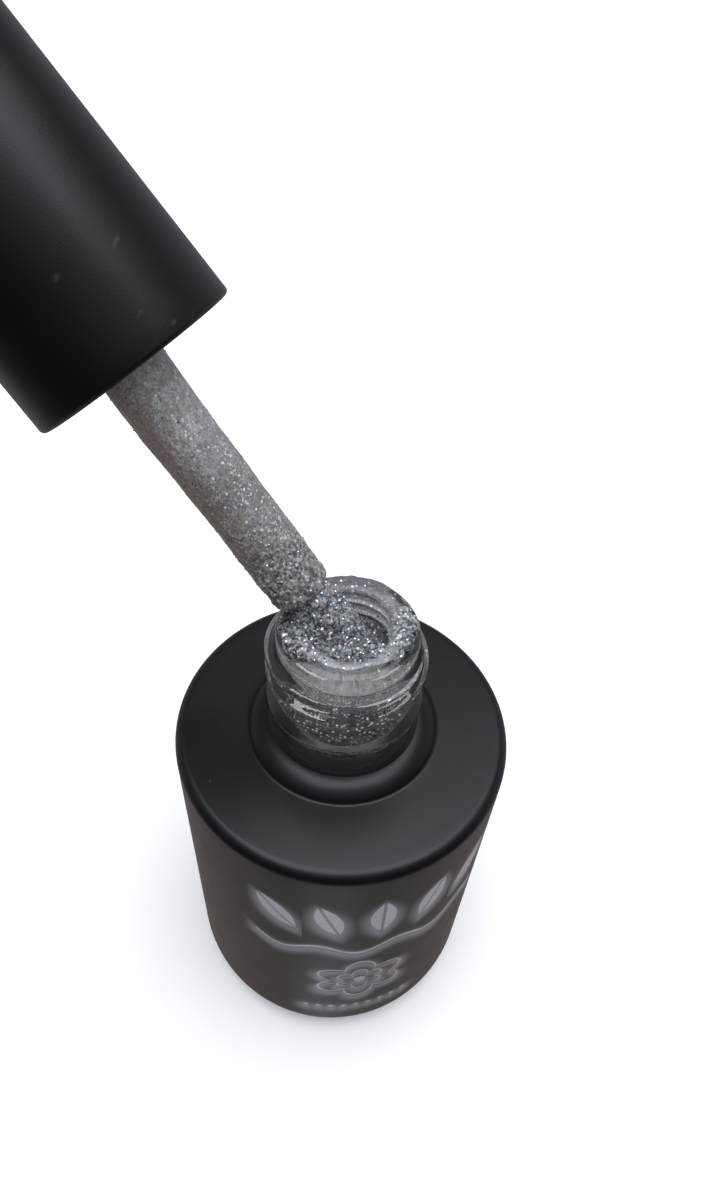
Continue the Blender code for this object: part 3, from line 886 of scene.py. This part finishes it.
def outer_cap():
    """The long matt shell with a rounded mouth and top."""
    stop = CAP_MOUTH + 18.3 * MM
    stop_depth = 0.7 * MM
    inside_top = CAP_TOP - 1.2 * MM
    profile = [(0, CAP_TOP)]
    profile += corner(cap_radius(CAP_TOP), CAP_TOP, 0.8 * MM, 90, 0, 12)
    profile += corner(CAP_RADIUS, CAP_MOUTH, 0.35 * MM, 0, -90, 10)
    bore = shell_bore(stop)
    profile += [(shell_bore(CAP_MOUTH), CAP_MOUTH + 0.1 * MM), (bore, stop)]
    profile += [(bore - stop_depth, stop), (bore - stop_depth, stop + stop_depth)]
    profile += [(bore, stop + 2 * stop_depth)]
    profile += [(shell_bore(CAP_TOP), inside_top), (0, inside_top)]
    shell = turned("outer_cap_shell", dense(profile, 1.2 * MM), 256, place=BRUSH)
    return finished(shell, cap_paint(), "cap", "cap_shell", "outer_cap")


SCUFFS = (
    # heading round the cap in degrees, height above its mouth, length, width, turn in degrees
    (29.6, 6.2 * MM, 0.75 * MM, 0.2 * MM, 25),
    (-1.2, 6.5 * MM, 0.34 * MM, 0.3 * MM, 0),
    (17.3, 2.3 * MM, 0.5 * MM, 0.2 * MM, 25),
    (27.2, 0.8 * MM, 0.4 * MM, 0.15 * MM, 10),
    (37.0, 0.4 * MM, 0.45 * MM, 0.12 * MM, 35),
)


def cap_paint():
    """The paint of the shell with a few small scuffs on the side that gets handled."""
    shader = matt_black("soft_touch_black", (0.003, 0.003, 0.0034), 0.2)
    x, y, z = shader.axes()
    heading = y.calc("ARCTAN2", x)
    toward = (BRUSH.inverted().to_3x3() @ VIEW_BACK).xy
    seen = math.atan2(toward.y, toward.x)
    marks = None
    for degrees, height, long, wide, turn in SCUFFS:
        across = (heading - (seen + math.radians(degrees))) * CAP_RADIUS
        up = z - (CAP_MOUTH + height)
        c, s = math.cos(math.radians(turn)), math.sin(math.radians(turn))
        oval = length((across * c + up * s) / long, (up * c - across * s) / wide)
        mark = (-oval).reaches(-1.15, 0.1)
        marks = mark if marks is None else marks.most(mark)
    marks = marks * shader.noise(0.25 * MM, 3).reaches(0.3, 0.6)
    colour = shader.surface.inputs["Base Color"].links[0].from_socket
    shader.set(base_color=shader.mix(marks * 0.32, colour, (0.12, 0.115, 0.115)))
    return shader


def inner_cap():
    """The threaded cap inside the shell."""
    plate_top = SEAT + PLATE
    foot_radius = shell_bore(INNER_LOW) - INNER_GAP
    top_radius = shell_bore(INNER_TOP) - INNER_GAP
    upper_bore = top_radius - INNER_UPPER_WALL
    profile = [(0, BOSS_TOP), (BOSS_RADIUS, BOSS_TOP), (BOSS_RADIUS, plate_top)]
    profile += [(upper_bore, plate_top), (upper_bore, INNER_TOP), (top_radius, INNER_TOP)]
    profile += [(foot_radius, INNER_LOW), (INNER_BORE, INNER_LOW), (INNER_BORE, NECKS_AT)]
    profile += [(INNER_NECKED_BORE, NECKS_AT + 0.4 * MM), (INNER_NECKED_BORE, SEAT)]
    profile += [(SOCKET_RADIUS, SEAT), (SOCKET_RADIUS, BOSS_TOP - MM), (0, BOSS_TOP - MM)]

    def ridge(angle, r, z):
        inside = np.abs(r - INNER_BORE) < 0.02 * MM
        reach = INNER_BORE - NECK_RADIUS - 0.3 * MM
        return inside * -reach * thread(angle, z, CAP_MOUTH + 8.4 * MM, 1.5, 0.2 * MM, 0.7 * MM)

    cap = turned("inner_cap_thread", dense(profile, 0.15 * MM), 192, place=BRUSH, swell=ridge)
    plastic = moulded_plastic("inner_plastic", INNER_BLACK, 0.4)
    return finished(cap, plastic, "cap", "inner_plastic", "inner_cap")


def socket_ribs():
    """Six ribs that stiffen the stem's socket, over the plate of the threaded cap."""
    bm = bmesh.new()
    wall = shell_bore(INNER_TOP) - INNER_GAP - INNER_UPPER_WALL
    long = wall - BOSS_RADIUS + 0.3 * MM
    for i in range(6):
        box = bmesh.ops.create_cube(bm, size=1)["verts"]
        bmesh.ops.scale(bm, vec=(long, 0.8 * MM, 2 * MM), verts=box)
        middle = ((wall + BOSS_RADIUS) / 2, 0, SEAT + PLATE + MM)
        bmesh.ops.translate(bm, vec=middle, verts=box)
        turn = Matrix.Rotation(TAU * (i + 0.25) / 6, 3, "Z")
        bmesh.ops.rotate(bm, cent=(0, 0, 0), matrix=turn, verts=box)
    bmesh.ops.bevel(bm, geom=list(bm.edges), offset=0.12 * MM, segments=2, affect="EDGES")
    mesh = bpy.data.meshes.new("socket_ribs")
    bm.to_mesh(mesh)
    bm.free()
    ribs = shaded("socket_ribs", mesh, BRUSH)
    plastic = moulded_plastic("rib_plastic", INNER_BLACK, 0.42)
    return finished(ribs, plastic, "cap", "inner_plastic")


def cap_liner():
    """The foam washer with the print of the bottle's lip in its face."""
    hole = 1.7 * MM
    edge = 0.12 * MM
    pressed_in = LINER_LOW + 0.08 * MM
    profile = [(hole, LINER_HIGH), (LINER_RADIUS, LINER_HIGH)]
    profile += corner(LINER_RADIUS, LINER_LOW, edge, 0, -90, 4)
    profile += [(5.5 * MM, LINER_LOW), (5.4 * MM, pressed_in)]
    profile += [(4.1 * MM, pressed_in), (4.0 * MM, LINER_LOW)]
    profile += corner(hole, LINER_LOW, edge, -90, -180, 4)
    liner = turned("cap_liner_foam", dense(profile, 0.4 * MM), 128, ring=True, place=BRUSH)
    return finished(liner, liner_foam(), "cap", "liner_foam", "cap_liner")


def brush_stem():
    """The rod with its plug, flange and bristle socket."""
    flange = CAP_MOUTH + 12.25 * MM
    flange_top = flange + 0.7 * MM
    profile = [(0, STEM_HIGH)] + corner(PLUG_RADIUS, STEM_HIGH, 0.4 * MM, 90, 0, 6)
    profile += [(PLUG_RADIUS, flange_top), (STEM_FLANGE, flange_top), (STEM_FLANGE, flange)]
    profile += [(STEM_RADIUS + 0.2 * MM, flange), (STEM_RADIUS, flange - 0.25 * MM)]
    profile += corner(STEM_RADIUS, STEM_LOW, 0.12 * MM, 0, -90, 4)
    profile += [(BRISTLE_SOCKET, STEM_LOW), (BRISTLE_SOCKET, SOCKET_END), (0, SOCKET_END)]
    stem = turned("brush_stem_rod", dense(profile, 0.6 * MM), 96, place=BRUSH)
    plastic = moulded_plastic("stem_plastic", (0.72, 0.72, 0.7), 0.3, 0.15)
    return finished(stem, plastic, "cap", "stem_plastic", "brush_stem")


# The way in which the gel hangs off the leaning stem
SAG_HEADING = Vector((-0.751, -0.466, -0.467))


def stem_coat():
    """The gel on the stem: smooth above, lumpy near the bristles, and sagging off its axis."""
    low, high = -1.0 * MM, CAP_MOUTH + 2 * MM
    sag = BRUSH.inverted().to_3x3() @ SAG_HEADING
    sag = np.array([sag.x, sag.y, 0]) / math.hypot(sag.x, sag.y)
    around = circle(176)[1]
    end = 1.3 * MM  # height of the rounded lower end
    heights = [low + end * (1 - math.cos(i / 14 * math.pi / 2)) for i in range(1, 14)]
    heights += list(np.arange(low + end, high, 0.1 * MM))
    rings = []
    for z in heights:
        share = max(0.0, z / CAP_MOUTH)
        closing = max(0.0, (low + end - z) / end)
        radius = (2.42 + 0.12 * share) * MM * math.sqrt(1 - closing**2)
        swing = (0.42 + 0.58 * max(0.0, 1 - share) ** 0.7) * MM
        rings.append(around * radius + sag * swing + np.array([0, 0, z]))
    rings = np.array(rings)
    low_end = 1 - smooth_step((rings[:, :, 2] - 0.5 * MM) / (6 * MM))
    middling, fine = 0.015 + 0.09 * low_end, 0.008 + 0.05 * low_end
    bulge = rough(rings, (3.5, 31, 0.1), (0.9, 32, middling), (0.36, 33, fine))
    rings += around[None] * bulge[:, :, None]
    # The coat's top end is turned in, onto the rod.
    top = np.array([0, 0, high])
    lid = around * (STEM_RADIUS + 0.15 * MM) + top
    rings = np.concatenate([[lid], rings[::-1]])
    poles = (top, sag * MM + np.array([0, 0, low]))
    coat = skin("stem_gel_coat", rings, poles=poles, place=BRUSH, sharp=80)

    def coarse(shader):
        height = shader.axes()[2]
        edge = (shader.noise(1.4 * MM, 2) - 0.5) * (5 * MM)
        return (-(height + edge)).reaches(-8 * MM, -2 * MM) * 0.75 + 0.06

    def toned(shader, colour):
        """Paler up the stem as painted light against the cap's shade, warm painted shade on the
        sagged underside, and painted glints of flakes that shine softly through.
        """
        x, y, height = shader.axes()
        # Painted shade: the underside, where the gel sags, is tinted warm; the brown mottles are
        # the gel's own.
        shaded_underside = (x * sag[0] + y * sag[1]).reaches(0.2 * MM, 2.6 * MM)
        smooth = height.reaches(2 * MM, 7 * MM)
        mottled = shader.noise(0.5 * MM, 3, 0.7).reaches(0.44, 0.58)
        grain = shader.noise(0.17 * MM, 2, 0.7)
        tint = shader.mix(shaded_underside.most(mottled * 0.8), (0.88, 0.93, 0.99), (0.94, 0.8, 0.7))
        # Painted light: the coat gets paler towards the cap, to make up for the cap's shade on it.
        painted_light_near_cap = height.reaches(9 * MM, 20 * MM)
        lifted = shader.mix(0.98 - painted_light_near_cap * 0.75, 0.66, colour)
        lifted = shader.mix(1.0, lifted, tint, "MULTIPLY")
        lifted = shader.mix(mottled * 0.38, lifted, (0.13, 0.115, 0.105))
        specked = (-grain).reaches(-0.45, -0.36) * 0.5
        lifted = shader.mix(specked, lifted, (0.1, 0.095, 0.095))
        # Painted glints: bright soft spots of flakes that shine through the gel.
        flecks = grain.reaches(0.58, 0.68) * shader.noise(1.3 * MM, 1).reaches(0.38, 0.6)
        painted_glow = flecks.most(specks(shader, 0.34 * MM, 0.3, 0.42) * 0.75) * (1.0 - shaded_underside * 0.6)
        warm = shader.noise(0.8 * MM, 1).reaches(0.45, 0.55)
        tinted = shader.mix(warm, (0.8, 1.0, 1.0), (1.0, 0.95, 0.88))
        return shader.mix(smooth, colour, shader.mix(painted_glow * 0.85, lifted, tinted))

    gel = (0.29, 0.278, 0.27)
    shader = glitter("stem_glitter", 0.24 * MM, gel, coarse, 0.15, 0.28, 0.02, toned)
    return finished(coat, shader, "anchor", "glitter_gel", "stem_gel")


def tuft_route(count):
    """Points down the middle of the tuft: along the stem's axis, then down into the bore."""
    level = Vector((CAP_AXIS.x, CAP_AXIS.y, 0)).normalized()
    tip = -level * 1.5 * MM + Vector((0, 0, TUFT_TIP_HEIGHT))
    bend = (ROOT, ROOT - CAP_AXIS * 4.6 * MM, tip + Vector((0, 0, 5.5 * MM)), tip)
    route = []
    for i in range(count):
        t = i / (count - 1)
        weights = ((1 - t) ** 3, 3 * t * (1 - t) ** 2, 3 * t * t * (1 - t), t**3)
        route.append(sum((point * weight for point, weight in zip(bend, weights)), Vector()))
    return route


def route_frames(route):
    """Two directions across the route at each of its points, turning as little as they can."""
    side = CAP_AXIS.orthogonal().normalized()
    frames = []
    for i in range(len(route)):
        ahead = (route[min(i + 1, len(route) - 1)] - route[max(i - 1, 0)]).normalized()
        side = (side - ahead * side.dot(ahead)).normalized()
        frames.append((side.copy(), ahead.cross(side)))
    return frames


def bristles():
    """The filaments of the tuft, each its own fine tube with a round end."""
    draw = random.Random(14)
    count = 26
    route = tuft_route(count)
    frames = route_frames(route)
    sides = 6
    points, faces = [], []
    for _ in range(BRISTLE_COUNT):
        spread, heading = math.sqrt(draw.random()), draw.random() * TAU
        wander, ends = draw.random() * TAU, 0.86 + 0.14 * draw.random()
        base = len(points)
        for i in range(count):
            t = i / (count - 1) * ends
            place = t * (count - 1)
            k = min(int(place), count - 2)
            middle = route[k].lerp(route[k + 1], place - k)
            one, two = frames[k]
            width = (0.72 + 0.5 * min(1, t / 0.4) - 0.75 * max(0, t - 0.6) / 0.4) * MM
            swing = heading + 0.25 * math.sin(4 * t + wander)
            middle = middle + (one * math.cos(swing) + two * math.sin(swing)) * width * spread
            size = BRISTLE_RADIUS * (0.35 if i == count - 1 else 1)
            for j in range(sides):
                turn = TAU * j / sides
                points.append(middle + (one * math.cos(turn) + two * math.sin(turn)) * size)
        for i in range(count - 1):
            for j in range(sides):
                a, b = base + i * sides + j, base + i * sides + (j + 1) % sides
                faces.append((a, b, b + sides, a + sides))
        faces.append([base + j for j in reversed(range(sides))])
        faces.append([base + (count - 1) * sides + j for j in range(sides)])
    mesh = bpy.data.meshes.new("bristle_filaments")
    mesh.from_pydata(points, [], faces)
    tuft = shaded("bristle_filaments", mesh)
    return finished(tuft, wet_bristle(), "bristles", "bristle_fibre", "bristle_tuft")


def tuft_gel():
    """The gel that clings to the bristles, from the end of the stem down into the bore."""
    count = 90
    route = tuft_route(count)
    frames = route_frames(route)
    rings = []
    back = 1.7 * MM
    for i in range(9):
        slope = math.radians(10 * (i + 1) - 5)
        middle = ROOT + CAP_AXIS * back * math.cos(slope) + SAG_HEADING * TUFT_SAG * MM
        rings.append((middle, frames[0], back * math.sin(slope)))
    last = int(count * 0.93)
    for i in range(last):
        t = i / (count - 1)
        width = 1.72 + 0.45 * math.sin(min(1, t / 0.35) * math.pi / 2)
        width -= 1.15 * max(0, t - 0.35) / 0.65
        closing = max(0.0, (t - 0.78) / 0.15)
        width *= math.sqrt(max(0.02, 1 - min(1, closing) ** 2))
        rings.append((route[i] + SAG_HEADING * (TUFT_SAG - 0.5 * t) * MM, frames[i], width * MM))
    angle = circle(150)[0]
    grid, outward = [], []
    for middle, (one, two), radius in rings:
        outward.append(np.outer(np.cos(angle), one) + np.outer(np.sin(angle), two))
        grid.append(np.array(middle) + outward[-1] * radius)
    grid, outward = np.array(grid), np.array(outward)
    bulge = rough(grid, (1.5, 41, 0.2), (0.55, 42, 0.12), (0.28, 43, 0.05))
    grid += outward * bulge[:, :, None]
    start = ROOT + CAP_AXIS * back + SAG_HEADING * TUFT_SAG * MM
    mass = skin("tuft_gel", grid[:, ::-1], poles=(start, route[last - 1]), sharp=80)
    shader = glitter("tuft_glitter", 0.28 * MM, (0.27, 0.27, 0.28), 0.9, 0.18, wet_bump=0.05)
    return finished(mass, shader, "bristles", "glitter_gel")


# Loose flakes ------------

FLAKE_KINDS = (
    ("silver", (0.95, 0.95, 0.97), 0.62),
    ("gold", (1.0, 0.84, 0.66), 0.2),
    ("aqua", (0.55, 0.95, 0.95), 0.1),
    # Painted reflection: the dark flakes stand for flakes that mirror the dim room, in near-black
    # metal.
    ("dark", (0.05, 0.05, 0.06), 0.08),
)

FLAKE_LEAN = 0.42
FLAKE_LIFT = 0.01
FLAKE_HALF = 0.006 * MM


def flakes(surface, body, count, seed, wanted=None, size=(0.05, 0.11)):
    """Hexagonal flakes that stand out of a gel surface, one piece for each of their kinds.

    wanted(point) is the chance that a flake stays at a point. size is the range of their radii, in
    millimetres.
    """
    draw = random.Random(seed)
    mesh = surface.data
    mesh.calc_loop_triangles()
    triangles = mesh.loop_triangles
    areas = np.cumsum([tri.area for tri in triangles])
    world = surface.matrix_world
    turn = world.to_3x3()
    made = {kind: ([], []) for kind, _, _ in FLAKE_KINDS}
    for _ in range(count):
        found = int(np.searchsorted(areas, draw.random() * areas[-1]))
        tri = triangles[min(found, len(triangles) - 1)]
        a, b = sorted((draw.random(), draw.random()))
        corners = [mesh.vertices[i].co for i in tri.vertices]
        place = world @ (corners[0] * a + corners[1] * (b - a) + corners[2] * (1 - b))
        keep = draw.random()
        choice = draw.random()
        lean = Vector([draw.gauss(0, FLAKE_LEAN) for _ in range(3)])
        radius = draw.uniform(*size) * MM
        spin = draw.random() * TAU
        if wanted and keep > wanted(place):
            continue
        for kind, _, share in FLAKE_KINDS:
            choice -= share
            if choice <= 0:
                break
        up = (turn @ tri.normal + lean).normalized()
        one = up.orthogonal().normalized()
        two = up.cross(one)
        points, faces = made[kind]
        base = len(points)
        place = place + turn @ tri.normal * FLAKE_LIFT * MM
        for height in (FLAKE_HALF, -FLAKE_HALF):
            for j in range(6):
                at = spin + TAU * j / 6
                spoke = (one * math.cos(at) + two * math.sin(at)) * radius
                points.append(place + spoke + up * height)
        faces.append([base + j for j in range(6)])
        faces.append([base + 6 + j for j in reversed(range(6))])
        for j in range(6):
            k = (j + 1) % 6
            faces.append((base + k, base + j, base + 6 + j, base + 6 + k))
    for kind, (points, faces) in made.items():
        name = f"{surface.name}_flakes_{kind}"
        loose = bpy.data.meshes.new(name)
        loose.from_pydata(points, [], faces)
        obj = shaded(name, loose, sharp=20)
        finished(obj, FLAKE_METALS[kind], body, "glitter_gel")


# The camera, the floor and the light ------------

CAMERA_PLACE = Vector((0, -41.86, 97.80)) * MM
CAMERA_TURN = Matrix(
    (
        (0.99786, -0.06525, 0.00292),
        (0.04800, 0.70235, -0.71021),
        (0.04429, 0.70883, 0.70399),
    )
)
VIEW_BACK = CAMERA_TURN @ Vector((0, 0, 1))


def make_camera():
    """A close wide view down into the mouth."""
    data = bpy.data.cameras.new("camera")
    data.lens = 24.0
    data.sensor_width = 36.0
    data.shift_x = 0.0091
    data.shift_y = -0.0268
    data.clip_start = 1 * MM
    camera = added("camera", data)
    camera.matrix_world = Matrix.Translation(CAMERA_PLACE) @ CAMERA_TURN.to_4x4()
    bpy.context.scene.camera = camera


def panel(name, place, target, size, power, colour):
    """A soft rectangular light that faces a point."""
    data = bpy.data.lights.new(name, "AREA")
    data.shape = "RECTANGLE"
    data.size, data.size_y = size
    data.energy = power
    data.color = colour
    light = added(name, data)
    light.location = place
    light.visible_camera = False
    toward = Vector(target) - Vector(place)
    light.rotation_euler = toward.to_track_quat("-Z", "Y").to_euler()
    return light


def make_floor():
    """A plain pale floor. It throws no light up at the bottle: the sky below does that."""
    reach = 40.0
    mesh = bpy.data.meshes.new("floor")
    corners = [(-reach, -reach, 0), (reach, -reach, 0), (reach, reach, 0), (-reach, reach, 0)]
    mesh.from_pydata(corners, [], [(0, 1, 2, 3)])
    floor = added("floor", mesh)
    floor.visible_diffuse = floor.visible_glossy = floor.visible_shadow = False
    shader = Shader("floor_paper")
    mottle = shader.noise(0.05, 3)
    shader.set(base_color=shader.mix(mottle, (0.89, 0.875, 0.86), (0.92, 0.905, 0.89)))
    shader.set(roughness=shader.noise(0.01, 2) * 0.1 + 0.75, specular_ior_level=0.1)
    x, y, _ = shader.axes()
    shader.set(emission_color=1.0)
    shader.set(emission_strength=length(x, y).reaches(0.3, 2.0) * 0.5 + 0.1)
    mesh.materials.append(shader.material)


def make_light(neck, coat):
    """A wide softbox overhead, three small lights, and a fill that shows in no reflection."""
    above, below = (0.05, 0.02, 1.0), (0.05, 0.02, 0)
    softbox = panel("softbox", above, below, (1.25, 1.0), 9.2, (0.85, 0.915, 1.0))
    softbox.rotation_euler.z += math.radians(12)
    # Two strips glint on the rounded lip of the glass, and light nothing else.
    glinting = bpy.data.collections.new("glinting")
    glinting.objects.link(neck)
    lip = Vector((0, 0, RIM))
    strips = (("strip_left", (-0.61, -0.5, 0.6), 0.5), ("strip_right", (0.735, -0.37, 0.57), 0.38))
    for name, toward, power in strips:
        place = lip + Vector(toward) * 0.3
        strip = panel(name, place, lip, (0.22, 0.1), power, (1.0, 0.98, 0.97))
        strip.light_linking.receiver_collection = glinting
    # A soft front light reaches the stem under the cap, and lights nothing else.
    clinging = bpy.data.collections.new("clinging")
    clinging.objects.link(coat)
    place = lip + Vector((0.35, -0.7, 0.62)) * 0.6
    front = panel("front", place, lip, (0.4, 0.4), 0.8, (1.0, 0.98, 0.96))
    front.visible_glossy = False
    front.light_linking.receiver_collection = clinging
    data = bpy.data.lights.new("fill", "SUN")
    data.energy = 1.6
    data.angle = math.radians(70)
    added("fill", data).visible_glossy = False


def make_studio():
    """A dim room round the bottle, and plain white where the camera looks past it."""
    world = bpy.data.worlds.new("studio")
    bpy.context.scene.world = world
    world.use_nodes = True
    studio = Tree(world.node_tree, "Generated")
    x, y, z = studio.axes()
    low, middle, high = (0.05, 0.045, 0.06), (0.09, 0.085, 0.105), (0.36, 0.37, 0.45)
    front = studio.ramp(z, (0.0, low), (0.37, middle), (0.75, high))
    behind = studio.mix(z.reaches(0.3, 0.6), (0.33, 0.31, 0.36), (0.14, 0.135, 0.16))
    sides = studio.mix(y.reaches(-0.35, 0.3), front, behind)
    bright = length(x, y + 0.29).reaches(0.2, 0.05)
    ground = studio.mix(bright, (0.3, 0.258, 0.25), (0.6, 0.6, 0.66))
    around = studio.mix(z.reaches(-0.8, -0.5), ground, sides)
    seen = studio.nodes.new("ShaderNodeLightPath").outputs["Is Camera Ray"]
    sky = studio.nodes["Background"]
    studio.feed(sky.inputs["Color"], studio.mix(seen, around, 1.0))
    view = bpy.context.scene.view_settings
    view.view_transform = "Standard"
    view.look = "None"


# The whole object ------------

FLAKE_METALS = {kind: flake_metal("flake_" + kind, colour) for kind, colour, _ in FLAKE_KINDS}

make_camera()
make_floor()

coated_body()
neck = clear_neck()
gel_inside()
film = neck_film()
heap = mouth_gel()
outer_cap()
inner_cap()
socket_ribs()
cap_liner()
brush_stem()
coat = stem_coat()
make_light(neck, coat)
make_studio()
bristles()
mass = tuft_gel()
anchor_materials = frame["nodes"]["bristle_anchor"].data.materials
anchor_materials.clear()
anchor_materials.append(anchor_steel().material)


def on_the_lip(point):
    """Many where the gel is heaped at the left and right of the lip, few on its front and back."""
    angle = math.atan2(point.y, point.x)
    heaped = max(near(angle, *LEFT_HEAP), near(angle, *RIGHT_HEAP))
    if point.z < RIM - 0.4 * MM:
        return 0.5 if point.z > RIM - 3.5 * MM and abs(angle - 0.7) < 1.6 else 0.06
    inner_back = point.y > 0 and math.hypot(point.x, point.y) < 4.8 * MM
    return max(0.12 + 0.88 * float(heaped), 0.6 * inner_back)


def thins_up_the_stem(point):
    height = (point - ROOT).dot(CAP_AXIS)
    return 0.08 + 0.92 * max(0.0, 1 - height / (7 * MM))


flakes(film, "bottle", 5200, 101, on_the_lip)
flakes(heap, "bottle", 1800, 102)
flakes(mass, "bristles", 2600, 103)
flakes(coat, "anchor", 5200, 104, thins_up_the_stem, (0.04, 0.08))
